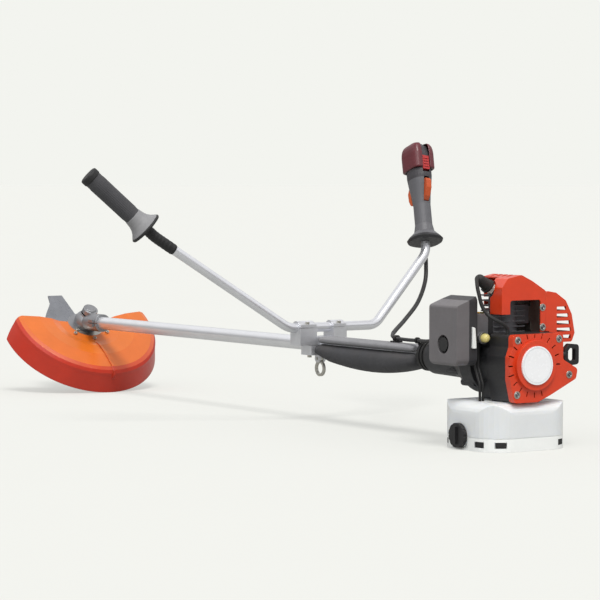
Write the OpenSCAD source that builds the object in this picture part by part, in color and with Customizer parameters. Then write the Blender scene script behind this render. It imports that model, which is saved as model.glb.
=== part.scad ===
// Brush mower: a petrol brushcutter with bicycle handlebars.
// X runs rearwards along the shaft tube, Y to the operator's right, Z up.
// The origin is the centre of the stand's base face, on the floor.

/* [Shaft and tube] */
// Height of the crank and shaft axis above the floor
axis_h = 155; // [145:1:170]
// Outer diameter of the shaft tube
tube_d = 28; // [25:0.5:30]
// Wall of the shaft tube
tube_wall = 1.5; // [1:0.25:2.5]
// From the stand's centre forward to the gear centre
reach = 1560; // [1350:10:1750]
// Diameter of the drive shaft
shaft_d = 8; // [7:0.5:9]

/* [Gear head] */
// Tilt of the blade's arbor from the vertical, in degrees
arbor_tilt = 38; // [34:1:42]
// From the gear centre down the arbor to the blade
blade_drop = 50; // [48:1:60]
// Diameter of the arbor
arbor_d = 12; // [10:1:14]
// Teeth on the pinion
pinion_teeth = 13; // [11:1:15]
// Teeth on the gear
gear_teeth = 19; // [17:1:23]
// Cone distance from the gear centre to the outer end of the teeth
cone_r = 30; // [28:1:32]
// Width of the tooth faces along the cone
gear_face = 10; // [8:1:12]

/* [Blade] */
// Diameter over the blade's tips
blade_d = 300; // [255:5:330]
// Thickness of the blade
blade_t = 3; // [2:0.5:4]
// Number of teeth on the blade
blade_tips = 3; // [3:1:4]

/* [Guard] */
// Radius of the guard's lip
guard_r = 184; // [176:1:196]
// Half of the angle that the guard covers
guard_half = 100; // [80:5:115]
// Height of the guard's crown above the blade
guard_crown = 45; // [42:1:46]
// Wall of the guard
guard_wall = 2.5; // [2:0.5:4]

/* [Handlebar] */
// Diameter of the handlebar tube
bar_d = 19; // [17:0.5:22]
// Wall of the handlebar tube
bar_wall = 1.5; // [1:0.25:2.5]
// From the stand's centre forward to the handlebar
bar_x = 602; // [550:1:640]
// Height of the handlebar above the shaft axis
bar_rise = 35; // [33:1:45]
// Forward lean of the handlebar, in degrees
bar_lean = 20; // [0:1:30]
// Bend radius of the handlebar tube
bar_bend = 45; // [35:1:60]
// Length of the left grip
grip_len = 180; // [150:5:200]
// Length of the throttle handle
handle_len = 238; // [230:1:260]
// Thickness of the throttle trigger
trigger_t = 12; // [9:1:14]

/* [Hip pad] */
// Length of the hip pad
pad_len = 334; // [250:2:336]
// Depth of the pad below the shaft axis at its deepest
pad_depth = 45; // [35:1:55]
// Half width of the pad
pad_half_w = 33; // [28:1:45]

/* [Engine] */
// Radius of the crankshaft's journals
crank_r = 7.5; // [6:0.5:9]
// Radius of the flywheel
flywheel_r = 43; // [38:1:44]
// Number of fan blades on the flywheel
fan_blades = 14; // [8:1:18]
// Number of cooling fins on the cylinder
fins = 9; // [6:1:10]
// Wall of the moulded covers
cover_wall = 2.5; // [2:0.5:3.5]
// Radius of the starter's round badge
badge_r = 35; // [30:1:38]
// Radius of the clutch bell
bell_r = 59; // [55:1:65]

/* [Tank and stand] */
// Length of the stand and the tank
stand_l = 168; // [160:1:190]
// Width of the stand and the tank
stand_w = 188; // [170:1:210]
// Radius of the stand's corners
stand_corner = 50; // [30:1:58]
// Wall of the fuel tank
tank_wall = 2.5; // [2:0.5:4]
// Diameter of the fuel cap
cap_d = 46; // [40:1:48]

/* [Air filter] */
// Length of the air filter box along the machine
filter_l = 84; // [70:1:90]
// Height of the filter box at its outer face
filter_h = 108; // [95:1:115]

/* [Hidden] */
$fn = 48;

// Clearances
run_gap = 0.05;
seat_gap = 0.02;
soft_gap = 0.3;
eps = 0.01;

// Colours
orange = [0.88, 0.34, 0.18];
guard_orange = [0.93, 0.50, 0.20];
silver = [0.80, 0.81, 0.83];
steel = [0.62, 0.63, 0.65];
cast_grey = [0.55, 0.55, 0.57];
dark_grey = [0.30, 0.30, 0.32];
black = [0.10, 0.10, 0.11];
white = [0.94, 0.95, 0.95];

// Stations along X, in the engine
case_front = -35;
case_rear = 22;
plate_t = 4;
fan_rear = 72;
case_r = 44;
cyl_x = -8;
starter_rear = 86;
badge_face = 95;
boss_rear = 92;
drum_front = -65;
nose_front = -205;

// Heights
tank_top = axis_h - 67;
deck_z = axis_h + 50;
head_z = deck_z + 95;
starter_top = axis_h + 56;

// ---------- helpers ----------

// Children turned so that their Z runs along +X, on the shaft axis at x
module on_axis(x) {
    translate([x, 0, axis_h]) rotate([0, 90, 0]) children();
}

// A ring or disc on the shaft axis from x0 to x1
module disc_x(x0, x1, r_out, r_in = 0) {
    on_axis(x0) difference() {
        cylinder(h = x1 - x0, r = r_out);
        if (r_in > 0) translate([0, 0, -1]) cylinder(h = x1 - x0 + 2, r = r_in);
    }
}

// An outline drawn in Y and Z, extruded along X from x0 to x1
module extrude_x(x0, x1) {
    translate([x0, 0, 0]) rotate([90, 0, 90]) linear_extrude(x1 - x0) children();
}

// An outline drawn in X and Z, extruded along Y from y0 to y1
module extrude_y(y0, y1) {
    translate([0, y1, 0]) rotate([90, 0, 0]) linear_extrude(y1 - y0) children();
}

function unit(v) = v / norm(v);

// Corner i of a closed outline, rounded by an arc of radius r in n steps
function corner(pts, i, r, n) =
    let (m = len(pts), b = pts[i])
    let (u = unit(pts[(i + m - 1) % m] - b), v = unit(pts[(i + 1) % m] - b))
    let (half = acos(u * v) / 2, set = r / tan(half), c = b + unit(u + v) * r / sin(half))
    let (p = b + u * set - c, q = b + v * set - c, turn = 180 - 2 * half)
    let (way = p[0] * q[1] - p[1] * q[0] > 0 ? 1 : -1)
    [for (k = [0:n]) let (a = way * turn * k / n) c + [p[0] * cos(a) - p[1] * sin(a), p[0] * sin(a) + p[1] * cos(a)]];

// A closed outline with every corner rounded
function rounded(pts, r, n = 4) = [for (i = [0:len(pts) - 1]) each corner(pts, i, r, n)];

// A rectangle from low to high with rounded corners
function rounded_box(low, high, r, n = 6) =
    rounded([low, [high[0], low[1]], high, [low[0], high[1]]], r, n);

function power(c, p) = sign(c) * pow(abs(c), 2 / p);

// A superellipse ring across X, centred on c, half width a in Y and b in Z
function ring_x(c, a, b, n = 24, p = 2.4) =
    [for (i = [0:n - 1]) let (t = 360 * i / n) c + [0, a * power(cos(t), p), b * power(sin(t), p)]];

// A superellipse ring across Z, half width a in X and b in Y
function ring_z(c, a, b, n = 24, p = 2.4) =
    [for (i = [0:n - 1]) let (t = 360 * i / n) c + [a * power(cos(t), p), b * power(sin(t), p), 0]];

function middle(ring, i = 0) = i == len(ring) ? [0, 0, 0] : ring[i] / len(ring) + middle(ring, i + 1);

// A closed skin over rings with equal numbers of points
module loft(rings) {
    n = len(rings[0]);
    m = len(rings);
    points = concat([for (r = rings) each r], [middle(rings[0]), middle(rings[m - 1])]);
    walls = [for (j = [0:m - 2]) for (i = [0:n - 1]) for (h = [0, 1])
        h == 0 ? [j * n + i, (j + 1) * n + (i + 1) % n, j * n + (i + 1) % n]
               : [j * n + i, (j + 1) * n + i, (j + 1) * n + (i + 1) % n]];
    first = [for (i = [0:n - 1]) [m * n, i, (i + 1) % n]];
    last = [for (i = [0:n - 1]) [m * n + 1, (m - 1) * n + (i + 1) % n, (m - 1) * n + i]];
    polyhedron(points, concat(walls, first, last));
}

// A point on the smooth curve through the route, between points i and i + 1
function curve_at(p, i, t) =
    let (m = len(p) - 1, a = p[max(i - 1, 0)], b = p[i], c = p[min(i + 1, m)], d = p[min(i + 2, m)])
    0.5 * (2 * b + (c - a) * t + (2 * a - 5 * b + 4 * c - d) * t * t + (3 * b - a - 3 * c + d) * t * t * t);

// The route as a smooth curve with the given steps between its points
function smooth(p, steps) =
    concat([for (i = [0:len(p) - 2]) for (s = [0:steps - 1]) curve_at(p, i, s / steps)], [p[len(p) - 1]]);

// A round tube's rings along a curve; side is a direction that the curve never follows
function tube_rings(p, r, side, n = 8) =
    [for (i = [0:len(p) - 1])
        let (t = unit(p[min(i + 1, len(p) - 1)] - p[max(i - 1, 0)]))
        let (u = unit(cross(t, side)), v = cross(t, u))
        [for (k = [0:n - 1]) p[i] + r * (cos(360 * k / n) * u + sin(360 * k / n) * v)]];

// A solid rod along a flat path in Y and Z, with its inner corners bent at radius bend
// The bends are a hair thinner than the straights and run a little way into them
module bent_rod(path, bend, r) {
    m = len(path);
    lap = 60 / bend;
    rotate([90, 0, 90]) for (i = [0:m - 2]) {
        d = unit(path[i + 1] - path[i]);
        a = path[i] + d * (i == 0 ? 0 : setback(path, i, bend));
        b = path[i + 1] - d * (i == m - 2 ? 0 : setback(path, i + 1, bend));
        translate([a[0], a[1], 0]) rotate([0, 90, atan2(d[1], d[0])]) cylinder(h = norm(b - a), r = r);
        if (i < m - 2) {
            turn = turning(path, i + 1);
            way = sign(turn);
            c = b + way * bend * [-d[1], d[0]];
            start = atan2(d[1], d[0]) - 90 * way + (way < 0 ? turn : 0);
            translate([c[0], c[1], 0]) rotate([0, 0, start - lap])
                rotate_extrude(angle = abs(turn) + 2 * lap) translate([bend, 0]) circle(r = r - 0.05);
        }
    }
}

// Signed angle that the path turns through at point i
function turning(path, i) =
    let (d = unit(path[i] - path[i - 1]), e = unit(path[i + 1] - path[i]))
    atan2(d[0] * e[1] - d[1] * e[0], d * e);

// Length that the bend at point i takes from each straight
function setback(path, i, bend) = bend * tan(abs(turning(path, i)) / 2);

// A cap screw standing on z = 0 with its shank below
module cap_screw(r, head_h, shank) {
    difference() {
        cylinder(h = head_h, r = r * 1.7);
        translate([0, 0, head_h * 0.4]) cylinder(h = head_h, r = r * 0.85, $fn = 6);
    }
    translate([0, 0, -shank]) cylinder(h = shank + eps, r = r);
}

// ---------- crankcase and crank train ----------

chamber_r = 31;
chamber_x = [-20, 8];
bearing_r = 15;
bearing_w = 12;
bearing_front = chamber_x[0] - bearing_w;
foot_w = 52;
spigot_r = 21;

// Rear outline of the starter, in Y and height above the axis
starter_points = [
    [-56, 16], [-56, -25], [-46, tank_top - axis_h], [8, tank_top - axis_h],
    [40, -54], [96, -28], [100, -10], [66, 8], [66, starter_top - axis_h], [-49, starter_top - axis_h], [-49, 34]];
starter_path = [for (p = rounded(starter_points, 7)) p + [0, axis_h]];

module crankcase() color(cast_grey) difference() {
    union() {
        disc_x(case_front, case_rear - plate_t, case_r);
        disc_x(case_rear - plate_t - 1, case_rear, spigot_r);
        disc_x(case_front, case_front + 6, bell_r);
        translate([case_front + 1, -34, axis_h]) cube([case_rear - plate_t - case_front - 1, 68, deck_z - axis_h]);
        translate([-30, -foot_w / 2, tank_top]) cube([46, foot_w, axis_h - tank_top]);
        for (y = [-30, -15, 0, 15, 27])
            translate([case_front + 6, y, tank_top + 4]) cube([46, 3, 30]);
    }
    disc_x(chamber_x[0], chamber_x[1], chamber_r);
    disc_x(bearing_front, chamber_x[0] + eps, bearing_r + seat_gap);
    disc_x(chamber_x[1] - eps, chamber_x[1] + bearing_w, bearing_r + seat_gap);
    disc_x(case_front - 1, case_rear + 1, crank_r + 1.5);
    // Rim of the clutch side, level under the fins
    translate([case_front - 1, -60, deck_z]) cube([8, 120, 30]);
}

// A ball bearing from z = 0 to w: two races and a cage of balls
module ball_bearing(r_out, r_in, w) {
    mid = (r_out + r_in) / 2;
    race = (r_out - r_in) * 0.28;
    difference() {
        cylinder(h = w, r = r_out);
        translate([0, 0, -1]) cylinder(h = w + 2, r = r_in + run_gap);
        translate([0, 0, -1]) difference() {
            cylinder(h = w * 0.25 + 1, r = r_out - race);
            translate([0, 0, -1]) cylinder(h = w + 4, r = r_in + race);
        }
        translate([0, 0, w * 0.75]) difference() {
            cylinder(h = w, r = r_out - race);
            translate([0, 0, -1]) cylinder(h = w + 4, r = r_in + race);
        }
    }
    translate([0, 0, w * 0.25]) for (a = [0:45:315]) rotate([0, 0, a]) translate([mid, 0, 0]) sphere(r = race * 0.6, $fn = 16);
}

drum_hub_r = 10;
drum_bearing_x = -107;
drum_bearing_r = 16;
pinion_bearing_x = 32;
pinion_bearing_r = 11;
pinion_bearing_w = 10;
arbor_bearing_r = 14;
arbor_bearing_w = 10;
arbor_bearing_z = -34;
top_bearing_r = 11;
top_bearing_z = 27;
top_bearing_w = 7;

module ball_bearings() color(steel) {
    on_axis(bearing_front) ball_bearing(bearing_r, crank_r, bearing_w);
    on_axis(chamber_x[1]) ball_bearing(bearing_r, crank_r, bearing_w);
    on_axis(drum_bearing_x) ball_bearing(drum_bearing_r, drum_hub_r, bearing_w);
    on_axis(pinion_bearing_x - reach) ball_bearing(pinion_bearing_r, shaft_d / 2, pinion_bearing_w);
    at_arbor() translate([0, 0, arbor_bearing_z]) ball_bearing(arbor_bearing_r, arbor_d / 2, arbor_bearing_w);
    at_arbor() translate([0, 0, top_bearing_z]) ball_bearing(top_bearing_r, arbor_d / 2, top_bearing_w);
}

crank_throw = 14;
crank_end_front = -60;
crank_end_rear = 57;

module crankshaft() color(steel) {
    disc_x(crank_end_front, -18, crank_r);
    disc_x(6, crank_end_rear, crank_r);
    for (x = [-18, -2]) on_axis(x) intersection() {
        cylinder(h = 8, r = 28);
        translate([-crank_throw, 0, 0]) cylinder(h = 8, r = 34);
    }
    translate([0, 0, crank_throw]) disc_x(-10 - eps, -2 + eps, 6);
}

fly_x = 25;
fly_w = 19;

module flywheel() color(cast_grey) difference() {
    union() {
        disc_x(fly_x, fly_x + 6, flywheel_r);
        disc_x(fly_x, fly_x + fly_w, crank_r + 7);
        for (i = [0:fan_blades - 1]) on_axis(fly_x + 6 - eps) rotate([0, 0, i * 360 / fan_blades])
            translate([crank_r + 9, 0, 0]) rotate([0, 0, 18]) cube([flywheel_r - crank_r - 13, 2.2, fly_w - 8]);
    }
    disc_x(fly_x - 1, fly_x + fly_w + 1, crank_r + seat_gap);
}

cup_r = 20;

module starter_cup() color(steel) difference() {
    union() {
        disc_x(fly_x + fly_w, 50, crank_r + 4);
        disc_x(46, 50, cup_r);
        disc_x(50 - eps, 56, cup_r, cup_r - 4);
    }
    disc_x(fly_x, 60, crank_r + seat_gap);
    for (a = [0:90:270]) on_axis(52) rotate([0, 0, a]) translate([cup_r - 6, -3, 0]) cube([10, 6, 10]);
}

drum_r = 41;
drum_wall = 2.5;
shoe_gap = 0.8;

module clutch_shoes() color(steel) difference() {
    union() {
        disc_x(-56, -39, 12);
        for (a = [90, 270]) on_axis(-56) rotate([0, 0, a]) {
            rotate([0, 0, -72]) rotate_extrude(angle = 144) translate([drum_r - shoe_gap - 14, 0]) square([14, 15]);
            translate([0, -6, 0]) cube([drum_r - 10, 12, 12]);
        }
    }
    disc_x(crank_end_front - 1, case_front, crank_r + seat_gap);
}

// ---------- cylinder, plug and covers ----------

fin_t = 2.2;
port_z = deck_z + 21;
plug_from = [cyl_x + 10, -20, deck_z + 75];
plug_rise = 35;

// Children turned so that their Z runs along the spark plug, out of the head
module on_plug(s) {
    translate(plug_from) rotate([90 - plug_rise, 0, 0]) translate([0, 0, s]) children();
}

module finned_cylinder() color(silver) difference() {
    union() {
        translate([cyl_x, 0, deck_z]) cylinder(h = head_z - deck_z - 8, r = 26);
        for (i = [0:fins - 1]) intersection() {
            z = deck_z + 6 + i * (head_z - deck_z - 10) / fins;
            translate([cyl_x - 26, -36, z]) cube([52, 72, fin_t]);
            translate([cyl_x, 0, z]) cylinder(h = fin_t, r = 40);
        }
        translate([cyl_x - 18, -36, port_z - 18]) cube([36, 20, 36]);
        translate([cyl_x - 20, 16, port_z]) cube([40, 28, 34]);
        on_plug(-6) cylinder(h = 20, r = 12);
    }
    translate([cyl_x, -20, port_z]) rotate([90, 0, 0]) cylinder(h = 30, r = 9);
    on_plug(8) cylinder(h = 30, r = 6 + seat_gap);
    on_plug(14) cylinder(h = 30, r = 12);
}

module spark_plug() color(white) {
    on_plug(8) cylinder(h = 8, r = 6);
    on_plug(16 - eps) cylinder(h = 7, r = 10, $fn = 6);
    on_plug(23 - 2 * eps) cylinder(h = 22, r = 4.5);
}

boot_from = 25;
boot_len = 24;
// Plug lead: from the boot down past the filter box to the top of the starter
lead_route = [
    [2, -60, 308], [4, -67, 312], [11, -74, 307], [18, -78, 295], [24, -78, 279], [29, -76, 262], [37, -70, 247],
    [48, -60, 237], [54, -46, 229], [55, -38, 220], [55, -38, 211]];

module plug_boot() color(black) {
    difference() {
        union() {
            on_plug(boot_from) cylinder(h = boot_len, r1 = 12, r2 = 9.5);
            on_plug(boot_from) cylinder(h = 4, r = 13.5);
            on_plug(boot_from + boot_len - eps) sphere(r = 9.5);
        }
        on_plug(boot_from - 1) cylinder(h = 21, r = 4.5 + seat_gap);
    }
    loft(tube_rings(smooth([for (p = lead_route) p + [0, 0, axis_h - 155]], 3), 3.5, [1, 0.2, 0]));
}

module ignition_coil() color(black) difference() {
    translate([case_rear, -22, axis_h + flywheel_r + 1]) cube([15, 44, 8]);
    for (y = [-17, 17]) translate([case_rear - 1, y, axis_h + flywheel_r + 5]) rotate([0, 90, 0]) cylinder(h = 20, r = 2);
}

cover_front = -44;
cover_rear = 40;
cover_low = starter_top + 0.3;
cover_left = -39;
// Where the cover's left wall begins, behind the plug
wall_front = 5;
// Outline of the cylinder cover in Y and height
cover_points = [
    [cover_left, cover_low], [cover_left, axis_h + 138], [-26, axis_h + 155], [6, axis_h + 161],
    [30, axis_h + 150], [62, axis_h + 131], [62, cover_low]];
window = [[-20, cover_low - 20], [50, axis_h + 115]];

module cylinder_cover() color(orange) difference() {
    extrude_x(cover_front, cover_rear) polygon(rounded(cover_points, 6));
    extrude_x(cover_front + cover_wall, cover_rear - cover_wall)
        offset(delta = -cover_wall) polygon(concat([[cover_left, cover_low - 20]], [for (i = [1:5]) cover_points[i]], [[62, cover_low - 20]]));
    extrude_x(0, cover_rear + 1) polygon(rounded_box(window[0], window[1], 5));
    // Left side open round the plug, and below the short rear wall
    translate([cover_front - 1, cover_left - 10, 0]) cube([wall_front - cover_front + 1, -16 - cover_left + 10, 500]);
    translate([0, cover_left - 10, 0]) cube([cover_rear + 10, window[0][0] - cover_left + 10, axis_h + 90]);
    // Right side open to the muffler
    translate([cover_front - 1, 48, 0]) cube([cover_rear - cover_front - 7, 30, axis_h + 120]);
    on_plug(0) cylinder(h = 60, r = 15);
    // Room for the clutch bell
    disc_x(cover_front - 1, case_front + 7, bell_r + soft_gap);
    // Louvres in the front face and the crown
    for (z = [70:14:126]) translate([cover_front - 1, -16, axis_h + z]) cube([cover_wall + 2, 56, 7]);
    for (x = [-32:15:14]) translate([x, -10, axis_h + 140]) cube([7, 32, 40]);
}

muffler_x = [-48, 8];
guard_front = -62;
// Outlet of the muffler in Y and Z, on its front face
outlet_at = [82, port_z + 20];

module muffler() color(steel) difference() {
    union() {
        extrude_x(muffler_x[0], muffler_x[1]) polygon(rounded_box([52, port_z - 20], [96, port_z + 44], 9));
        translate([cyl_x - 16, 44, port_z + 3]) cube([32, 8 + eps, 28]);
        translate([guard_front + 4, outlet_at[0], outlet_at[1]]) rotate([0, 90, 0]) cylinder(h = 12, r = 7);
    }
    translate([cyl_x, 40, port_z + 17]) rotate([-90, 0, 0]) cylinder(h = 20, r = 9);
    translate([guard_front, outlet_at[0], outlet_at[1]]) rotate([0, 90, 0]) cylinder(h = 14, r = 5);
}

// Outline of the muffler guard in Y and height: from the cover over the muffler and down
muffler_points = [
    [62.3, axis_h + 131], [86, axis_h + 127], [109, axis_h + 112], [123, axis_h + 87],
    [130, axis_h + 52], [123, axis_h + 36], [62.3, axis_h + 36]];
slat_pitch = 13;
slat_gap = 7;
guard_rear = 40;
// Outer ends of the slots in the rear face, from the lowest up
slat_ends = [121, 121, 119, 115, 110];
slat_from = 88;

module muffler_guard() color(orange) difference() {
    extrude_x(guard_front, guard_rear) polygon(rounded(muffler_points, 5));
    extrude_x(guard_front + cover_wall, guard_rear - cover_wall)
        offset(delta = -cover_wall) polygon(rounded(muffler_points, 5));
    translate([guard_front - 1, 60, axis_h + 44]) cube([guard_rear - guard_front - 3, 6, 100]);
    translate([guard_front - 1, 58, axis_h + 29]) cube([guard_rear - guard_front + 2, 12, 28]);
    for (i = [0:4]) {
        z = axis_h + 42 + i * slat_pitch;
        translate([guard_rear - 10, slat_from, z]) cube([20, slat_ends[i] - slat_from, slat_gap]);
        translate([guard_front + 10, 100, z]) cube([guard_rear - guard_front - 20, 60, slat_gap]);
        translate([guard_front - 10, 74, z]) cube([20, 26, slat_gap]);
    }
}

// ---------- starter ----------

post_r = 6;
pulley_x = [60, 74];
pulley_r = 30;
rope_z = 15;
rope_from = 26;
rope_x = 67;
rope_thick = 2;
handle_y = 74;

// Children at y on the starter rope's line, with Z along it to the right
module on_rope(y) {
    translate([rope_x, y, axis_h + rope_z]) rotate([-90, 0, 0]) children();
}

module fan_housing() color(dark_grey) difference() {
    union() {
        extrude_x(case_rear - plate_t, fan_rear) polygon(starter_path);
        on_rope(60) cylinder(h = handle_y - 60.1, r = 4.8);
    }
    extrude_x(case_rear, fan_rear + 1) offset(delta = -cover_wall) polygon(starter_path);
    disc_x(case_rear - plate_t - 1, case_rear + 1, spigot_r + seat_gap);
    // Rope exit on the right
    on_rope(50) cylinder(h = 30, r = rope_thick + soft_gap);
}

module starter_housing() color(orange) difference() {
    union() {
        difference() {
            union() {
                extrude_x(fan_rear, starter_rear) polygon(starter_path);
                disc_x(starter_rear - eps, boss_rear, 45);
            }
            extrude_x(fan_rear - 1, starter_rear - cover_wall)
                offset(delta = -cover_wall) polygon(starter_path);
        }
        disc_x(58, starter_rear, post_r);
        for (a = [30, 150, 270]) on_axis(76) rotate([0, 0, a]) translate([31, -5, 0]) cube([10, 10, 9]);
    }
    // Cooling louvres round the boss
    for (i = [0:19]) if (i < 2 || i > 4) on_axis(starter_rear - 6)
        rotate([0, 0, i * 18]) translate([49, -1.2, 0]) cube([10, 2.4, 20]);
    // Seat of the badge
    disc_x(boss_rear - 1, boss_rear + 5, badge_r + seat_gap);
}

module starter_badge() color(white) disc_x(boss_rear - 1, badge_face, badge_r);

spring_turns = 5;
spring_r = [9, 29];
spring_steps = 20;

// One edge of the wound strip, offset outwards by t
function spring_edge(t) =
    [for (i = [0:spring_turns * spring_steps])
        let (r = spring_r[0] + (spring_r[1] - spring_r[0]) * i / (spring_turns * spring_steps) + t)
        let (a = 360 * i / spring_steps)
        r * [cos(a), sin(a)]];

function reversed(p) = [for (i = [len(p) - 1:-1:0]) p[i]];

module recoil_spring() color(steel)
    on_axis(76) linear_extrude(7) polygon(concat(spring_edge(0.5), reversed(spring_edge(-0.5))));

module starter_pulley() color(dark_grey) {
    difference() {
        union() {
            disc_x(pulley_x[0], pulley_x[0] + 2.5, pulley_r);
            disc_x(pulley_x[0], pulley_x[1], 24);
            disc_x(pulley_x[1] - 2.5, pulley_x[1], pulley_r);
        }
        disc_x(50, 80, post_r + run_gap);
        for (a = [0:60:300]) on_axis(50) rotate([0, 0, a]) translate([15, 0, 0]) cylinder(h = 40, r = 4);
    }
    disc_x(pulley_x[0] + 2.5 + seat_gap, pulley_x[1] - 2.5 - seat_gap, 28, 24 + seat_gap);
}

module starter_handle() color(black) {
    on_rope(rope_from) cylinder(h = handle_y - rope_from + 2, r = rope_thick);
    on_rope(handle_y) cylinder(h = 8, r1 = 5, r2 = 7);
    translate([rope_x, 0, axis_h + rope_z]) difference() {
        extrude_x(-5, 5) polygon(rounded([[handle_y + 6, -8], [handle_y + 18, -20], [handle_y + 40, -18],
            [handle_y + 40, 18], [handle_y + 18, 20], [handle_y + 6, 8]], 6));
        extrude_x(-6, 6) polygon(rounded([[handle_y + 15, -7], [handle_y + 20, -12], [handle_y + 32, -11],
            [handle_y + 32, 11], [handle_y + 20, 12], [handle_y + 15, 7]], 3));
    }
}

// ---------- carburettor and air filter ----------

carb_y = [-74, -49];
carb_x = [cyl_x - 20, cyl_x + 20];
carb_z = [port_z - 20, port_z + 20];
venturi_r = 9;
lever_pin_r = 2.5;
carb_mid_y = (carb_y[0] + carb_y[1]) / 2;

module inlet_block() color(black) difference() {
    translate([cyl_x - 18, carb_y[1], port_z - 18]) cube([36, -36 - carb_y[1], 36]);
    translate([cyl_x, carb_y[1] - 1, port_z]) rotate([-90, 0, 0]) cylinder(h = 30, r = venturi_r);
}

module carburettor() color(silver) difference() {
    union() {
        translate([carb_x[0], carb_y[0], carb_z[0]]) cube([40, carb_y[1] - carb_y[0], 40]);
        translate([carb_x[0] + 4, carb_y[0] + 2, carb_z[0] - 12]) cube([32, 21, 12 + eps]);
        translate([carb_x[1] - eps, carb_mid_y, carb_z[0] - 3]) rotate([0, 90, 0]) cylinder(h = 5, r = 11);
    }
    translate([cyl_x, carb_y[0] - 1, port_z]) rotate([-90, 0, 0]) cylinder(h = 40, r = venturi_r);
    translate([cyl_x, carb_mid_y, port_z - 14]) cylinder(h = 60, r = lever_pin_r + run_gap);
    translate([carb_x[1] - 4, carb_mid_y, carb_z[0] - 3]) rotate([0, 90, 0]) cylinder(h = 12, r = 8.5);
}

module carb_lever() color(steel) {
    translate([cyl_x, carb_mid_y, port_z - 13.5]) cylinder(h = 34.5, r = lever_pin_r);
    intersection() {
        translate([cyl_x, carb_mid_y - 0.8, port_z]) rotate([-90, 0, 0]) cylinder(h = 1.6, r = venturi_r - 0.4);
        translate([cyl_x - 20, carb_mid_y - 5, port_z - 20]) cube(40);
    }
    translate([0, 0, carb_z[1] + 0.5]) linear_extrude(2.5)
        translate([cyl_x, carb_mid_y]) polygon(rounded([[-6, -6], [6, -6], [6, 4], [16, 9], [16, 15], [4, 12], [-6, 6]], 2));
}

module primer_bulb() color([0.85, 0.80, 0.55])
    translate([carb_x[1] + 1.5, carb_mid_y, carb_z[0] - 3]) rotate([0, 90, 0]) {
        cylinder(h = 8, r = 8);
        translate([0, 0, 8 - eps]) intersection() {
            sphere(r = 8);
            cylinder(h = 10, r = 9);
        }
    }

filter_x = [cyl_x + 21 - filter_l, cyl_x + 21];
filter_y = [-120, -92, carb_y[0]];
filter_z = [axis_h - 2, axis_h - 2 + filter_h];
filter_slope = 20;
knob_at = [filter_x[0] + filter_l / 2, axis_h + 36];
choke_at = [filter_x[1], -83, axis_h + 34];

// The filter box as one closed form, inset by t all round
module filter_form(t) intersection() {
    extrude_x(filter_x[0] + t, filter_x[1] - t) offset(delta = -t) polygon(rounded([
        [filter_y[0], filter_z[0]], [filter_y[0], filter_z[1]],
        [filter_y[2] + 8, filter_z[1] + filter_slope], [filter_y[2] + 8, filter_z[0]]], 6));
    extrude_y(filter_y[0] - 1, filter_y[2] + 10) offset(delta = -t)
        polygon(rounded_box([filter_x[0], filter_z[0]], [filter_x[1], filter_z[1] + filter_slope], 13));
}

module filter_base() color(dark_grey) difference() {
    intersection() {
        filter_form(0);
        translate([-500, filter_y[1], 0]) cube([1000, filter_y[2] - filter_y[1], 1000]);
    }
    intersection() {
        filter_form(3);
        translate([-500, filter_y[1] - 1, 0]) cube([1000, filter_y[2] - filter_y[1] - 4, 1000]);
    }
    translate([cyl_x, filter_y[2] - 10, port_z]) rotate([-90, 0, 0]) cylinder(h = 20, r = venturi_r);
    translate([knob_at[0], filter_y[2] - 10, knob_at[1]]) rotate([-90, 0, 0]) cylinder(h = 20, r = 3 + run_gap);
    translate(choke_at - [6, 0, 0]) rotate([0, 90, 0]) cylinder(h = 10, r = 2.5 + run_gap);
}

recess_r = 17;
recess_d = 13;

module filter_cover() color([0.47, 0.46, 0.46]) difference() {
    intersection() {
        filter_form(0);
        translate([-500, filter_y[0] - 5, 0]) cube([1000, filter_y[1] - filter_y[0] + 5 - 0.3, 1000]);
    }
    difference() {
        intersection() {
            filter_form(cover_wall);
            translate([-500, filter_y[0] - 5, 0]) cube([1000, 100, 1000]);
        }
        translate([knob_at[0], filter_y[0] - 1, knob_at[1]]) rotate([-90, 0, 0])
            cylinder(h = recess_d + 4, r = recess_r + cover_wall);
    }
    translate([knob_at[0], filter_y[0] - 1, knob_at[1]]) rotate([-90, 0, 0]) cylinder(h = recess_d + 1, r = recess_r);
    translate([knob_at[0], filter_y[0] - 1, knob_at[1]]) rotate([-90, 0, 0]) cylinder(h = 40, r = 3.5);
}

module filter_knob() color(black) translate([knob_at[0], 0, knob_at[1]]) rotate([90, 0, 0]) {
    translate([0, 0, -filter_y[2] + 0.5]) cylinder(h = filter_y[2] - filter_y[0] - 4, r = 3);
    difference() {
        translate([0, 0, -filter_y[0] - recess_d + 0.5]) cylinder(h = recess_d - 1, r = 13);
        for (a = [0:45:315]) rotate([0, 0, a]) translate([15, 0, -filter_y[0] - 20]) cylinder(h = 40, r = 3);
    }
}

module filter_element() color([0.75, 0.70, 0.45]) difference() {
    translate([filter_x[0] + 8, filter_y[1] - 8, filter_z[0] + 8]) cube([filter_l - 16, 21 - seat_gap, filter_h - 12]);
    translate([knob_at[0], filter_y[0], knob_at[1]]) rotate([-90, 0, 0]) cylinder(h = 60, r = recess_r + 4);
    translate([filter_x[0] + 20, filter_y[1] - 2, filter_z[0] + 20]) cube([filter_l - 40, 24, filter_h - 36]);
}

module choke_lever() color(white) translate(choke_at) {
    translate([-6, 0, 0]) rotate([0, 90, 0]) cylinder(h = 7, r = 2.5);
    extrude_x(0.5, 3.5) polygon(rounded([[-4.5, -4.5], [4.5, -4.5], [4, 8], [2, 32], [-4, 35], [-4, 8]], 1.5));
}

// ---------- tank and stand ----------

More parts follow.
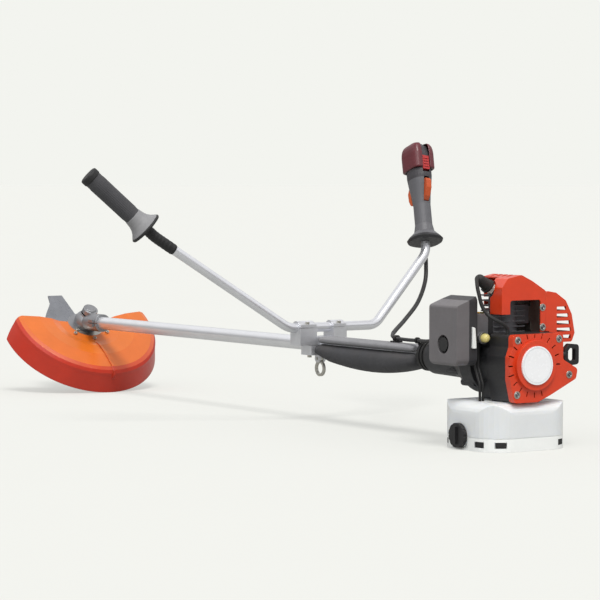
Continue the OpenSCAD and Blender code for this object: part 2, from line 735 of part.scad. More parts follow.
stand_rim = 24;
rim_wall = 3;
floor_t = 3;
cap_z = floor_t + cap_d / 2;
neck_r = 18;
neck_out = 5;
cap_x = -12;
cap_h = 8;
stand_path = rounded_box([-stand_l / 2, -stand_w / 2], [stand_l / 2, stand_w / 2], stand_corner, 8);

module stand() color(white) difference() {
    linear_extrude(stand_rim) polygon(stand_path);
    translate([0, 0, floor_t]) linear_extrude(stand_rim) offset(delta = -rim_wall) polygon(stand_path);
    // Gap for the filler
    translate([cap_x - neck_r - 4, -stand_w / 2 - 1, floor_t]) cube([2 * neck_r + 8, 20, 40]);
    // Drain slots in the rim
    for (a = [-125, -65, -42, 42, 65, 125]) rotate([0, 0, a]) translate([stand_l * 0.5, -11, 7]) cube([60, 22, 11]);
}

// The tank's outer form, inset by t
module tank_form(t) intersection() {
    union() {
        translate([0, 0, floor_t + t]) linear_extrude(60) offset(delta = -rim_wall - soft_gap - t) polygon(stand_path);
        translate([0, 0, stand_rim + soft_gap + t]) linear_extrude(90) offset(delta = -t) polygon(stand_path);
    }
    extrude_x(-200, 200) polygon(rounded([[-stand_w / 2 + t, -60], [-stand_w / 2 + t, tank_top - t],
        [stand_w / 2 - t, tank_top - t], [stand_w / 2 - t, -60]], 22 - t, 6));
    extrude_y(-200, 200) polygon(rounded([[-stand_l / 2 + t, -60], [-stand_l / 2 + t, tank_top - t],
        [stand_l / 2 - t, tank_top - t], [stand_l / 2 - t, -60]], 22 - t, 6));
}

module fuel_tank() color(white) difference() {
    union() {
        tank_form(0);
        translate([cap_x, -stand_w / 2 + 20, cap_z]) rotate([90, 0, 0]) cylinder(h = 20 + neck_out, r = neck_r);
    }
    tank_form(tank_wall);
    translate([cap_x, -stand_w / 2 + 30, cap_z]) rotate([90, 0, 0]) cylinder(h = 60, r = neck_r - tank_wall);
}

module fuel_cap() color(black) translate([cap_x, -stand_w / 2, cap_z]) rotate([90, 0, 0]) {
    difference() {
        translate([0, 0, 1]) cylinder(h = cap_h, r = cap_d / 2 - 0.4);
        translate([0, 0, -1]) cylinder(h = neck_out + 2, r = neck_r + soft_gap);
        for (a = [0:30:330]) rotate([0, 0, a]) translate([cap_d / 2 + 1, 0, 3]) cylinder(h = 30, r = 2.4);
    }
    translate([-2.5, -neck_r + 2, cap_h + 1 - eps]) cube([5, 2 * neck_r - 4, 4]);
}

line_r = 2.5;

module fuel_lines() color([0.25, 0.25, 0.22])
    for (y = [-60, -67]) translate([0, y, 0]) rotate([0, 0, -90])
        bent_rod([[12, tank_top], [12, tank_top + 30], [-2, tank_top + 60], [-2, carb_z[0] - 12]], 14, line_r);

// ---------- clutch housing and tube ----------

module clutch_drum() color(steel) difference() {
    union() {
        disc_x(drum_front, -38, drum_r + drum_wall);
        disc_x(drum_bearing_x - 4, drum_front, drum_hub_r);
    }
    disc_x(drum_front + 3, -37, drum_r);
    disc_x(drum_bearing_x - 10, drum_front + 4, shaft_d / 2 + seat_gap);
}

module clutch_housing() color(dark_grey) difference() {
    union() {
        on_axis(0) rotate_extrude() polygon([[0, case_front], [bell_r, case_front], [bell_r, -62], [bell_r - 8, -82],
            [40, -104], [36, -125], [34, nose_front], [0, nose_front]]);
        for (a = [45:90:315]) on_axis(-75) rotate([0, 0, a]) translate([bell_r - 5, 0, 0]) cylinder(h = 38.5, r = 7);
        for (a = [0:60:300]) on_axis(-125) rotate([0, 0, a]) translate([30, -2, 0]) cube([18, 4, 45]);
    }
    on_axis(0) rotate_extrude() polygon([[0, -90], [24, -90], [bell_r - 5, -71], [bell_r - 5, case_front + 1], [0, case_front + 1]]);
    disc_x(drum_bearing_x, -70, drum_bearing_r + seat_gap);
    disc_x(nose_front - 1, -113, 24 + seat_gap);
    disc_x(-120, -80, drum_hub_r + 2);
}

tube_rear = -140;
tube_front = -reach + 45;
tube_r = tube_d / 2;
sleeve_front = -236;

module av_sleeve() color(black) difference() {
    union() {
        disc_x(nose_front, -125, 24);
        disc_x(sleeve_front, nose_front, 30);
    }
    disc_x(sleeve_front - 1, -100, tube_r + seat_gap);
    for (x = [-228, -218]) disc_x(x, x + 4, 31, 27);
}

module shaft_tube() color(silver) disc_x(tube_front, tube_rear, tube_r, tube_r - tube_wall);

bushes = 5;

module tube_bushes() color(black)
    for (i = [0:bushes - 1]) {
        x = tube_front + 60 + i * (tube_rear - tube_front - 150) / (bushes - 1);
        disc_x(x, x + 28, tube_r - tube_wall - seat_gap, shaft_d / 2 + run_gap);
    }

module drive_shaft() color(steel) disc_x(-reach + pinion_seat, drum_front + 3, shaft_d / 2);

// ---------- hip pad, clips and hose ----------

pad_rear = -250;
pad_split = 4;

// Depth of the belly along the pad, from 0 at its rear to 1 at its front
function belly(u) = pad_depth * (0.52 + 0.48 * pow(sin(180 * pow(u, 0.85)), 0.8) - 0.06 * (1 - u));

module hip_pad() color([0.30, 0.30, 0.32]) {
    difference() {
        intersection() {
            loft([for (i = [0:12]) let (u = 1 - i / 12, d = belly(u), e = i == 0 || i == 12 ? 0.82 : 1)
                ring_x([pad_rear - u * pad_len, 0, axis_h + pad_split - (d + pad_split) / 2], pad_half_w * e, (d + pad_split) / 2 * e)]);
            translate([-1000, -100, 0]) cube([1000, 200, axis_h + pad_split - 0.5]);
        }
        disc_x(pad_rear - pad_len - 5, pad_rear + 5, tube_r + soft_gap);
    }
    difference() {
        loft([for (i = [0:10]) let (u = 1 - i / 10, e = i == 0 || i == 10 ? 0.85 : 1)
            ring_x([pad_rear - 4 - u * (pad_len - 8), 0, axis_h + pad_split + 7], (pad_half_w - 7) * e, 7 * e, 24, 3)]);
        disc_x(pad_rear - pad_len - 5, pad_rear + 5, tube_r + soft_gap);
    }
}

hose_r = 3.5;
// Where the clips hold the throttle hose: on the pad and on the tube
pad_clip = [-346, 4, 181];
tube_clip = [-243, -21, 183];
// Turn of the hose in plan where each clip holds it, in degrees
pad_clip_turn = -22;
tube_clip_turn = -16;
// Throttle hose: from the throttle handle down, in over the tube, and back to the carburettor
hose_route = [
    [-685.8, 318.4, 361.7], [-679.7, 315.9, 344.9], [-667, 310, 312], [-651, 296, 272], [-611, 248, 232],
    [-545, 168, 202], [-480, 100, 188], [-410, 40, 182], pad_clip, [-290, -8, 181], tube_clip, [-180, -40, 186],
    [-124, -56, 197], [-84, -61.5, 214], [-58, -61.5, 224], [-42, -61.5, 226], [carb_x[0], -61.5, 226]];

module throttle_hose() color(black)
    loft(tube_rings(smooth([for (p = hose_route) p + [0, 0, axis_h - 155]], 4), hose_r, [0.3, 0.35, 1]));

module cable_clips() color(black) {
    difference() {
        union() {
            disc_x(tube_clip[0] - 2, tube_clip[0] + 2, tube_r + 3);
            translate([tube_clip[0] - 1.5, 0, axis_h]) rotate([37, 0, 0]) translate([0, -2.5, tube_r + 1]) cube([3, 5, 17]);
            translate(tube_clip) rotate([0, 90, 0]) cylinder(h = 5, r = hose_r + 2.5, center = true);
        }
        disc_x(tube_clip[0] - 5, tube_clip[0] + 5, tube_r + seat_gap);
        translate(tube_clip) rotate([0, 90, tube_clip_turn]) cylinder(h = 20, r = hose_r + soft_gap, center = true);
    }
    difference() {
        union() {
            translate(pad_clip) rotate([0, 90, 0]) cylinder(h = 10, r = hose_r + 2.5, center = true);
            translate(pad_clip - [8, 9, pad_clip[2] - axis_h - pad_split - 14.1]) cube([16, 18, 3]);
        }
        translate(pad_clip) rotate([0, 90, pad_clip_turn]) cylinder(h = 30, r = hose_r + 2 * soft_gap, center = true);
    }
}

// ---------- handlebar bracket ----------

bar_z = axis_h + bar_rise;
bar_r = bar_d / 2;
cap_screw_r = 2.5;
cap_screw_x = bar_r + cap_screw_r + 1;
cap_screw_z = 7;
bracket_half = cap_screw_x + 5;
left_saddle = [-60, -20];
right_saddle = [20, 52];

module bracket_base() color(silver) difference() {
    union() {
        for (s = [left_saddle, right_saddle])
            translate([-bar_x - bracket_half, s[0], axis_h + 6]) cube([2 * bracket_half, s[1] - s[0], bar_rise - 6 - 0.5]);
        translate([-bar_x - bracket_half, left_saddle[0], axis_h + 0.5]) cube([2 * bracket_half, right_saddle[1] - left_saddle[0], 16]);
    }
    disc_x(-bar_x - 40, -bar_x + 40, tube_r + seat_gap);
    translate([-bar_x, -100, bar_z]) rotate([-90, 0, 0]) cylinder(h = 200, r = bar_r + run_gap);
    for (s = [left_saddle, right_saddle]) for (dx = [-cap_screw_x, cap_screw_x]) translate([-bar_x + dx, (s[0] + s[1]) / 2, axis_h + 12])
        cylinder(h = 60, r = cap_screw_r + seat_gap);
    for (y = [-26, 26]) translate([-bar_x, y, axis_h - 5]) cylinder(h = 18, r = 2.5 + seat_gap);
}

ear_z = axis_h - 28;
ring_pin_r = 3;

module bracket_caps() color(silver) {
    for (s = [left_saddle, right_saddle]) difference() {
        union() {
            translate([-bar_x, s[0] + 1, bar_z]) rotate([-90, 0, 0]) cylinder(h = s[1] - s[0] - 2, r = bar_r + 4);
            translate([-bar_x - bracket_half, s[0] + 1, bar_z]) cube([2 * bracket_half, s[1] - s[0] - 2, cap_screw_z]);
        }
        translate([-bar_x - 50, s[0] - 1, bar_z - 50]) cube([100, 100, 50 + 0.5]);
        translate([-bar_x, s[0] - 1, bar_z]) rotate([-90, 0, 0]) cylinder(h = 100, r = bar_r + run_gap);
        for (dx = [-cap_screw_x, cap_screw_x]) translate([-bar_x + dx, (s[0] + s[1]) / 2, bar_z + cap_screw_z]) {
            translate([0, 0, -20]) cylinder(h = 40, r = cap_screw_r + seat_gap);
            cylinder(h = 20, r = cap_screw_r * 1.7 + seat_gap);
        }
    }
    difference() {
        union() {
            translate([-bar_x - bracket_half, -34, axis_h - 20]) cube([2 * bracket_half, 68, 19.5]);
            for (y = [-8, 2.8]) translate([-bar_x, y, ear_z]) rotate([-90, 0, 0]) cylinder(h = 5.2, r = 8);
            for (y = [-8, 2.8]) translate([-bar_x - 8, y, ear_z]) cube([16, 5.2, 10]);
        }
        disc_x(-bar_x - 40, -bar_x + 40, tube_r + seat_gap);
        for (y = [-26, 26]) translate([-bar_x, y, axis_h - 40]) cylinder(h = 60, r = 2.5 + seat_gap);
        translate([-bar_x, -20, ear_z]) rotate([-90, 0, 0]) cylinder(h = 40, r = ring_pin_r + seat_gap);
    }
}

eye_r = 11;
eye_drop = 20;

module harness_ring() color(steel) difference() {
    union() {
        translate([-bar_x, -2.5, ear_z]) rotate([-90, 0, 0]) cylinder(h = 5, r = 7);
        translate([-bar_x, -2.5, ear_z - eye_drop]) rotate([-90, 0, 0]) cylinder(h = 5, r = eye_r + 5);
    }
    translate([-bar_x, -5, ear_z]) rotate([-90, 0, 0]) cylinder(h = 10, r = ring_pin_r + run_gap);
    translate([-bar_x, -5, ear_z - eye_drop]) rotate([-90, 0, 0]) cylinder(h = 10, r = eye_r);
}

// ---------- handlebar ----------

// Children in the handlebar's own frame: Y across, Z up the leaning plane
module at_bar() {
    translate([-bar_x, 0, bar_z]) rotate([0, -bar_lean, 0]) children();
}

left_bend = [-76, 0];
left_end = [-345, 196];
left_turn = 43.9;
right_bend = [134, 0];
right_end = [301, 152];
right_turn = -8;
left_way = [-sin(left_turn), cos(left_turn)];
right_way = [-sin(right_turn), cos(right_turn)];
grip_tube = grip_len - 14;
handle_tube = 100;
bar_path = [left_end + left_way * grip_tube, left_end, left_bend, right_bend, right_end,
    right_end + right_way * handle_tube];

module at_left_grip() {
    at_bar() translate([0, left_end[0], left_end[1]]) rotate([left_turn, 0, 0]) children();
}

module at_handle() {
    at_bar() translate([0, right_end[0], right_end[1]]) rotate([right_turn, 0, 0]) children();
}

module handlebar_tube() color(silver) at_bar() difference() {
    bent_rod(bar_path, bar_bend, bar_r);
    bent_rod(bar_path, bar_bend, bar_r - bar_wall);
}

grip_r = 17;
grip_low = 22;

module left_grip() color(dark_grey) at_left_grip() difference() {
    rotate_extrude() polygon([[0, grip_low - 2], [14, grip_low - 2], [34, grip_low], [36, grip_low + 3], [34, grip_low + 6],
        [24, grip_low + 22], [19, grip_low + 32], [grip_r, grip_low + 42], [grip_r, grip_len - 14],
        [19, grip_len - 12], [19, grip_len - 3], [16, grip_len], [0, grip_len]]);
    translate([0, 0, -10]) cylinder(h = grip_tube + 10 + seat_gap, r = bar_r + seat_gap);
}

// Sections of the throttle handle: height, half depth in X, half width in Y
handle_sections = [
    [22, 34, 34], [27, 36, 36], [31, 33, 33], [44, 21, 20], [60, 18, 17], [104, 18, 17],
    [122, 21, 18], [148, 26, 21], [165, 28, 23], [handle_len - 26, 28, 23], [handle_len - 9, 23, 19], [handle_len, 13, 11]];
trigger_pivot = [-10, 150];
lock_pivot = [12, 116];
switch_z = [handle_len - 62, handle_len - 32];
handle_pin_r = 2.5;

// Children at a pivot of the handle, with Z along its pin
module on_pin(pivot) {
    translate([pivot[0], 0, pivot[1]]) rotate([-90, 0, 0]) children();
}

module throttle_housing() color(dark_grey) at_handle() {
    for (side = [-1, 1]) handle_shell(side);
    for (p = [trigger_pivot, lock_pivot]) on_pin(p) translate([0, 0, -13]) cylinder(h = 26, r = handle_pin_r);
}

// One half of the throttle handle
module handle_shell(side) difference() {
    intersection() {
        loft([for (s = handle_sections) ring_z([0, 0, s[0]], s[1], s[2])]);
        translate([-60, side > 0 ? 0.1 : -60.1, 0]) cube([120, 60, 300]);
    }
    for (p = [trigger_pivot, lock_pivot]) on_pin(p) translate([0, 0, -13]) cylinder(h = 26, r = handle_pin_r + seat_gap);
    translate([0, 0, -1]) cylinder(h = handle_tube + 2, r = bar_r + seat_gap);
    // Trigger and lockout wells, and the slot of the switch
    translate([-60, -trigger_t / 2 - 0.6, 106]) cube([62, trigger_t + 1.2, 54]);
    translate([4, -trigger_t / 2 - 0.6, 108]) cube([60, trigger_t + 1.2, 52]);
    translate([14.9, -8.3, switch_z[0] - 5.3]) cube([40, 16.6, switch_z[1] - switch_z[0] + 5.6]);
    // Hose entry
    translate([-20, 12, 10]) cylinder(h = 40, r = hose_r + 1);
}

module throttle_trigger() color(orange) at_handle() difference() {
    extrude_y(-trigger_t / 2, trigger_t / 2) polygon(rounded([[-4, 154], [-14, 157], [-30, 154], [-38, 140],
        [-37, 124], [-31, 112], [-25, 114], [-28, 128], [-26, 140], [-14, 144], [-4, 144]], 2, 3));
    translate([trigger_pivot[0], -50, trigger_pivot[1]]) rotate([-90, 0, 0]) cylinder(h = 100, r = handle_pin_r + run_gap);
}

module trigger_lockout() color([0.55, 0.25, 0.12]) at_handle() difference() {
    extrude_y(-trigger_t / 2, trigger_t / 2) polygon(rounded([[7, 111], [16, 110], [24, 118], [32, 134],
        [33, 150], [29, 156], [22, 152], [20, 136], [7, 122]], 2, 3));
    translate([lock_pivot[0], -50, lock_pivot[1]]) rotate([-90, 0, 0]) cylinder(h = 100, r = handle_pin_r + run_gap);
}

module stop_switch() color([0.75, 0.12, 0.12]) at_handle() {
    translate([15, -8, switch_z[0]]) cube([14, 16, switch_z[1] - switch_z[0]]);
    for (z = [6, 12, 18, 24]) translate([28.9, -6, switch_z[0] + z - 1]) cube([1.6, 12, 2]);
}

// ---------- gear head ----------

// Children in the arbor's frame: Z up the arbor, X rearwards in the blade's plane
module at_arbor() {
    translate([-reach, 0, axis_h]) rotate([0, arbor_tilt, 0]) children();
}

shaft_angle = 90 - arbor_tilt;
pinion_cone = atan2(sin(shaft_angle), gear_teeth / pinion_teeth + cos(shaft_angle));
gear_cone = shaft_angle - pinion_cone;
gear_module = 2 * cone_r * sin(pinion_cone) / pinion_teeth;
tooth_up = 0.7;
tooth_down = 1.0;
tooth_share = 0.40;

// One straight bevel tooth: its two ends are cut at cone distances near and far
module bevel_tooth(cone, near, far, teeth) {
    // A point at cone distance d, raised h from the pitch cone, at angle a round the axis
    function on_cone(d, h, a) =
        let (r = d * sin(cone) + h * cos(cone), z = d * cos(cone) - h * sin(cone))
        [r * cos(a), r * sin(a), z];
    pitch = 360 / teeth;
    ends = [for (d = [near, far])
        let (m = gear_module * d / cone_r, root = -tooth_down * m * 1.2, tip = tooth_up * m)
        let (wide = pitch * tooth_share * 0.5, w0 = wide * 1.45, w1 = wide * 0.55)
        [on_cone(d, root, -w0), on_cone(d, 0, -wide), on_cone(d, tip, -w1), on_cone(d, tip, w1),
            on_cone(d, 0, wide), on_cone(d, root, w0)]];
    loft(ends);
}

// A bevel gear with its cone's point at the origin and its axis along +Z
module bevel_wheel(teeth, cone, hub_r, hub_end, bore, turned) {
    near = cone_r - gear_face;
    root = tooth_down * gear_module;
    difference() {
        union() {
            rotate_extrude() polygon([
                [0, near * cos(cone)],
                [near * sin(cone) - root * cos(cone) * near / cone_r, near * cos(cone) + root * sin(cone) * near / cone_r],
                [cone_r * sin(cone) - root * cos(cone), cone_r * cos(cone) + root * sin(cone)],
                [hub_r, hub_end], [0, hub_end]]);
            for (i = [0:teeth - 1]) rotate([0, 0, turned + i * 360 / teeth]) bevel_tooth(cone, near, cone_r, teeth);
        }
        cylinder(h = 100, r = bore);
    }
}

pinion_seat = 19;
gear_hub_end = top_bearing_z - 0.5;

module bevel_pinion() color(steel) on_axis(-reach)
    bevel_wheel(pinion_teeth, pinion_cone, 7, pinion_bearing_x - 0.5, shaft_d / 2 + seat_gap, 180 + 180 / pinion_teeth);

module bevel_gear() color(steel) at_arbor()
    bevel_wheel(gear_teeth, gear_cone, 8.5, gear_hub_end, arbor_d / 2 + seat_gap, 0);

module arbor_shaft() color(steel) at_arbor() translate([0, 0, -blade_drop - 20])
    cylinder(h = blade_drop + 20 + top_bearing_z + top_bearing_w - 1, r = arbor_d / 2);

flange_z = -14;
flange_t = 3.5;
case_top = top_bearing_z + top_bearing_w + 3;
socket_len = 78;
socket_r = tube_r + 6;

module gearcase() color(cast_grey) difference() {
    union() {
        at_arbor() translate([0, 0, arbor_bearing_z - 2]) cylinder(h = 30, r = 20);
        at_arbor() translate([0, 0, flange_z - 6]) cylinder(h = case_top - flange_z + 6, r1 = 22, r2 = 17);
        at_arbor() translate([0, 0, flange_z]) cylinder(h = flange_t, r = 40);
        at_arbor() sphere(r = 27);
        disc_x(-reach, -reach + socket_len, socket_r);
        at_arbor() translate([0, 0, case_top - eps]) cylinder(h = 3, r1 = 13, r2 = 11);
        translate([-reach + 52, -4 - socket_r, axis_h - 8]) cube([18, 12, 16]);
    }
    // Space of the gears
    at_arbor() translate([0, 0, -18]) cylinder(h = top_bearing_z + 18, r1 = 10, r2 = 19);
    disc_x(-reach + 4, -reach + pinion_bearing_x, 13.5);
    // Seats of the bearings
    at_arbor() translate([0, 0, arbor_bearing_z - 3]) cylinder(h = arbor_bearing_w + 3, r = arbor_bearing_r + seat_gap);
    at_arbor() translate([0, 0, -30]) cylinder(h = 20, r = arbor_d / 2 + 1);
    at_arbor() translate([0, 0, top_bearing_z - eps]) cylinder(h = top_bearing_w + 2 * eps, r = top_bearing_r + seat_gap);
    disc_x(-reach + pinion_bearing_x - eps, -reach + 45, pinion_bearing_r + seat_gap);
    disc_x(-reach + 45, -reach + socket_len + 1, tube_r + seat_gap);
    // Pinch slot
    translate([-reach + 46, -40, axis_h - 1]) cube([60, 40, 2]);
    for (a = [55, -55]) at_arbor() rotate([0, 0, a]) translate([35, 0, -20]) cylinder(h = 20, r = 2.5 + seat_gap);
}

bracket_r = 62;
crown_z = guard_crown - blade_drop;
bracket_t = crown_z - guard_wall - flange_z - flange_t;
lug_r = 54;

module guard_bracket() color(steel) at_arbor() difference() {
    translate([0, 0, flange_z + flange_t]) rotate([0, 0, -70]) rotate_extrude(angle = 140)
        translate([29, 0]) square([bracket_r - 29, bracket_t]);
    for (a = [50, 0, -50]) rotate([0, 0, a]) translate([lug_r, 0, -30]) cylinder(h = 60, r = 2.5 + seat_gap);
    for (a = [55, -55]) rotate([0, 0, a]) translate([35, 0, -30]) cylinder(h = 60, r = 2.5 + seat_gap);
    rotate([0, shaft_angle, 0]) cylinder(h = 120, r = socket_r + 0.5);
}

ridge_w = 6;
end_round = 34;

// How far the lip reaches below the blade so that it touches the floor at the rear
lip_drop = (axis_h - blade_drop * cos(arbor_tilt) - guard_r * sin(arbor_tilt)) / cos(arbor_tilt);

// Shell of the guard in radius and height above the bracket's seat: outer face, then inner face back
shell = [
    [43, 0], [bracket_r + 2, 0], [82, 5], [115, 8], [guard_r - 28, 6], [guard_r - 19, 3], [guard_r - 14, -3],
    [guard_r - 12, -11], [guard_r, -lip_drop - guard_crown], [guard_r - guard_wall, -lip_drop - guard_crown],
    [guard_r - 12 - guard_wall, -11.5], [guard_r - 16.2, -4.5], [guard_r - 20.5, 0.5], [guard_r - 28.5, 6 - guard_wall],
    [115, 8 - guard_wall], [83, 5 - guard_wall], [bracket_r + 2, -guard_wall], [43, -guard_wall]];
// Ridge down the middle of the shell
ridge = [
    [66, -1.2], [70, 3.5], [84, 7.5], [115, 10.2], [guard_r - 27, 8.2], [guard_r - 16, 4], [guard_r - 10, -4],
    [guard_r - 8, -14], [guard_r - 12.5, -13], [guard_r - 15.5, -3], [guard_r - 21, 2.2], [guard_r - 29, 4.8],
    [115, 6.8], [83, 3.8]];

module guard() color(guard_orange) at_arbor() translate([0, 0, -blade_drop]) difference() {
    translate([0, 0, guard_crown]) {
        rotate([0, 0, -guard_half]) rotate_extrude(angle = 2 * guard_half, $fn = 96) polygon(shell);
        rotate([90, 0, 0]) translate([0, 0, -ridge_w / 2]) linear_extrude(ridge_w) polygon(ridge);
    }
    for (a = [50, 0, -50]) rotate([0, 0, a]) translate([lug_r, 0, 0]) cylinder(h = 100, r = 2.5 + seat_gap);
    // Rounded front corners
    for (side = [0, 1]) mirror([0, side, 0]) rotate([0, 0, guard_half]) translate([guard_r - end_round, 1 - end_round, -50]) difference() {
        cube([end_round + 20, end_round + 20, 150]);
        translate([0, 0, -1]) cylinder(h = 152, r = end_round);
    }
}

boss_r = 10;
disc_z = -blade_drop + blade_t / 2;

module drive_disc() color(steel) at_arbor() difference() {
    union() {
        translate([0, 0, disc_z]) cylinder(h = 5, r = 28);
        translate([0, 0, disc_z + 5 - eps]) cylinder(h = arbor_bearing_z - disc_z - 5 - 0.5, r = 11);
        translate([0, 0, disc_z - blade_t + 0.3]) cylinder(h = blade_t, r = boss_r);
    }
    translate([0, 0, -200]) cylinder(h = 400, r = arbor_d / 2 + seat_gap);
}

tip_half = 7;
root_turn = 18;
hub_ring = 62;

// Edge of the blade's tooth i: its tip, then a hollow back that runs down to the root of the next tooth
function tooth_edge(i, n = 14) =
    let (pitch = 360 / blade_tips, back_end = pitch - tip_half - root_turn)
    [for (k = [-1:n])
        let (t = max(k, 0) / n, r = blade_d / 2 + (hub_ring - blade_d / 2) * pow(t, 0.5))
        let (a = 180 + i * pitch + (k < 0 ? -tip_half : tip_half + (back_end - tip_half) * pow(t, 1.2)))
        r * [cos(a), sin(a)]];

module blade() color(silver) at_arbor() translate([0, 0, -blade_drop - blade_t / 2]) difference() {
    linear_extrude(blade_t) polygon([for (i = [0:blade_tips - 1]) each tooth_edge(i)]);
    translate([0, 0, -1]) cylinder(h = 10, r = boss_r + seat_gap);
}

module blade_clamp() color(steel) at_arbor() {
    difference() {
        translate([0, 0, disc_z - blade_t - 6]) cylinder(h = 6, r1 = 20, r2 = 26);
        translate([0, 0, -200]) cylinder(h = 400, r = arbor_d / 2 + seat_gap);
    }
    difference() {
        translate([0, 0, disc_z - blade_t - 15]) cylinder(h = 9, r = 12, $fn = 6);
        translate([0, 0, -200]) cylinder(h = 400, r = arbor_d / 2 + seat_gap);
    }
}

// ---------- fasteners ----------

module screws() color(steel) {
    // Handlebar caps
    for (s = [left_saddle, right_saddle]) for (dx = [-cap_screw_x, cap_screw_x])
        translate([-bar_x + dx, (s[0] + s[1]) / 2, bar_z + cap_screw_z]) cap_screw(cap_screw_r, 5, bar_rise + cap_screw_z - 13);
    // Lower half of the handlebar bracket
    for (y = [-26, 26]) translate([-bar_x, y, axis_h - 20]) mirror([0, 0, 1]) cap_screw(2.5, 5, 31);
    // Pin of the harness ring
    translate([-bar_x, -9, ear_z]) rotate([-90, 0, 0]) cylinder(h = 18, r = ring_pin_r);
    // Guard and its bracket
    for (a = [50, 0, -50]) at_arbor() rotate([0, 0, a]) translate([lug_r, 0, crown_z]) cap_screw(2.5, 4, 7);
    for (a = [55, -55]) at_arbor() rotate([0, 0, a]) translate([35, 0, crown_z - guard_wall]) cap_screw(2.5, 4, 8);
}

crankcase();
ball_bearings();
finned_cylinder();
spark_plug();
plug_boot();
ignition_coil();
cylinder_cover();
fan_housing();
starter_housing();
starter_badge();
recoil_spring();
muffler();
muffler_guard();
carburettor();
inlet_block();
filter_base();
filter_element();
fuel_tank();
stand();
fuel_lines();
clutch_housing();
av_sleeve();
shaft_tube();
tube_bushes();
hip_pad();
cable_clips();
throttle_hose();
bracket_base();
bracket_caps();
screws();
gearcase();
guard_bracket();
guard();
crankshaft();
flywheel();
clutch_shoes();
starter_cup();
clutch_drum();
drive_shaft();
bevel_pinion();
arbor_shaft();
bevel_gear();
drive_disc();
blade();
blade_clamp();
starter_pulley();
starter_handle();
handlebar_tube();
left_grip();
throttle_housing();
throttle_trigger();
trigger_lockout();
stop_switch();
carb_lever();
choke_lever();
primer_bulb();
fuel_cap();
filter_cover();
filter_knob();
harness_ring();
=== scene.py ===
"""A petrol brush mower with bicycle handlebars: its finishes, soft parts, light and camera.

X runs rearwards along the shaft tube, Y to the operator's right, Z up. Lengths are metres.
"""

import bpy
import numpy as np
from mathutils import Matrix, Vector

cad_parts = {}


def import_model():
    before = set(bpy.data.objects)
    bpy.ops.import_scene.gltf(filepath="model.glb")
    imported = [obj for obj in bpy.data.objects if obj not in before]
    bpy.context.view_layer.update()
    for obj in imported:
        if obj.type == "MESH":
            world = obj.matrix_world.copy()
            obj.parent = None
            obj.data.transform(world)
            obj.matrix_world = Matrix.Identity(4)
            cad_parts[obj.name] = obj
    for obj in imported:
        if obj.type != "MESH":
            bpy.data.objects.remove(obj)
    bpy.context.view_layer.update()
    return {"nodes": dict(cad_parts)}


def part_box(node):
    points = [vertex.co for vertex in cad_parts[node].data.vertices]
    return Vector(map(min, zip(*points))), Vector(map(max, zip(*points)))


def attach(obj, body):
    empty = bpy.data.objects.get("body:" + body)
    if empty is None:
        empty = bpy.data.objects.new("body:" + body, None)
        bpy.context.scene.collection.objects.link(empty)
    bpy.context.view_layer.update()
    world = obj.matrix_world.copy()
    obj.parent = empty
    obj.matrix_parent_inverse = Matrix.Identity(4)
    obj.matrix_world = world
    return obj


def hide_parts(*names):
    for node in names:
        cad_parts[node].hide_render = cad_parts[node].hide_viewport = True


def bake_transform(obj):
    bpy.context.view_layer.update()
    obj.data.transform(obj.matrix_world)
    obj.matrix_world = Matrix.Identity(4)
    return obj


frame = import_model()

# ---------- camera ----------

PHOTO_SIDE = 600            # pixels along each side of the photograph
FOCAL_PX = 2778             # focal length in those pixels
SENSOR = 36.0               # millimetres
CAMERA_AT = (4.0026, -3.1194, 0.522)
HEADING = (-0.8320, 0.5548)
PITCH_DOWN = np.radians(2.86)
CLIP_END = 60               # metres, past the floor that the camera sees


def place_camera():
    """The photograph's view: level heading, a slight pitch down and no roll."""
    data = bpy.data.cameras.new("camera")
    data.sensor_width = SENSOR
    data.lens = FOCAL_PX * SENSOR / PHOTO_SIDE
    data.clip_end = CLIP_END
    camera = bpy.data.objects.new("camera", data)
    bpy.context.scene.collection.objects.link(camera)
    flat = np.array([*HEADING, 0.0]) / np.hypot(*HEADING)
    ahead = flat * np.cos(PITCH_DOWN) - np.array([0, 0, np.sin(PITCH_DOWN)])
    camera.location = CAMERA_AT
    camera.rotation_euler = Vector(ahead).to_track_quat("-Z", "Y").to_euler()
    bpy.context.scene.camera = camera


place_camera()

# ---------- node tools ----------


def rgb(red, green, blue):
    """A display colour from 0 to 255 as scene-linear values."""
    c = np.array([red, green, blue]) / 255
    linear = np.where(c <= 0.04045, c / 12.92, ((c + 0.055) / 1.055) ** 2.4)
    return (*linear, 1.0)


def link(tree, source, target):
    tree.links.new(source, target)


def node(tree, kind, settings=None, **inputs):
    """A shader node; settings are its own options, inputs its sockets by name (spaces as underscores) or, as i0, i1
    and so on, by number."""
    made = tree.nodes.new("ShaderNode" + kind)
    for key, value in (settings or {}).items():
        setattr(made, key, value)
    for key, value in inputs.items():
        numbered = key[0] == "i" and key[1:].isdigit()
        socket = made.inputs[int(key[1:]) if numbered else key.replace("_", " ")]
        if isinstance(value, bpy.types.NodeSocket):
            link(tree, value, socket)
        else:
            socket.default_value = value
    return made


def math_node(tree, operation, a, b=0.0, c=0.0):
    return node(tree, "Math", {"operation": operation}, i0=a, i1=b, i2=c).outputs[0]


def remap(tree, value, low, high, to_low=0.0, to_high=1.0):
    """value from low..high to to_low..to_high, held at the ends."""
    made = node(tree, "MapRange", None, Value=value, From_Min=low, From_Max=high,
                To_Min=to_low, To_Max=to_high)
    return made.outputs[0]


def mix(tree, factor, a, b):
    """Two colours mixed by a factor."""
    made = tree.nodes.new("ShaderNodeMix")
    made.data_type = "RGBA"
    for socket, value in ((made.inputs[0], factor), (made.inputs[6], a), (made.inputs[7], b)):
        if isinstance(value, bpy.types.NodeSocket):
            link(tree, value, socket)
        else:
            socket.default_value = value
    return made.outputs[2]


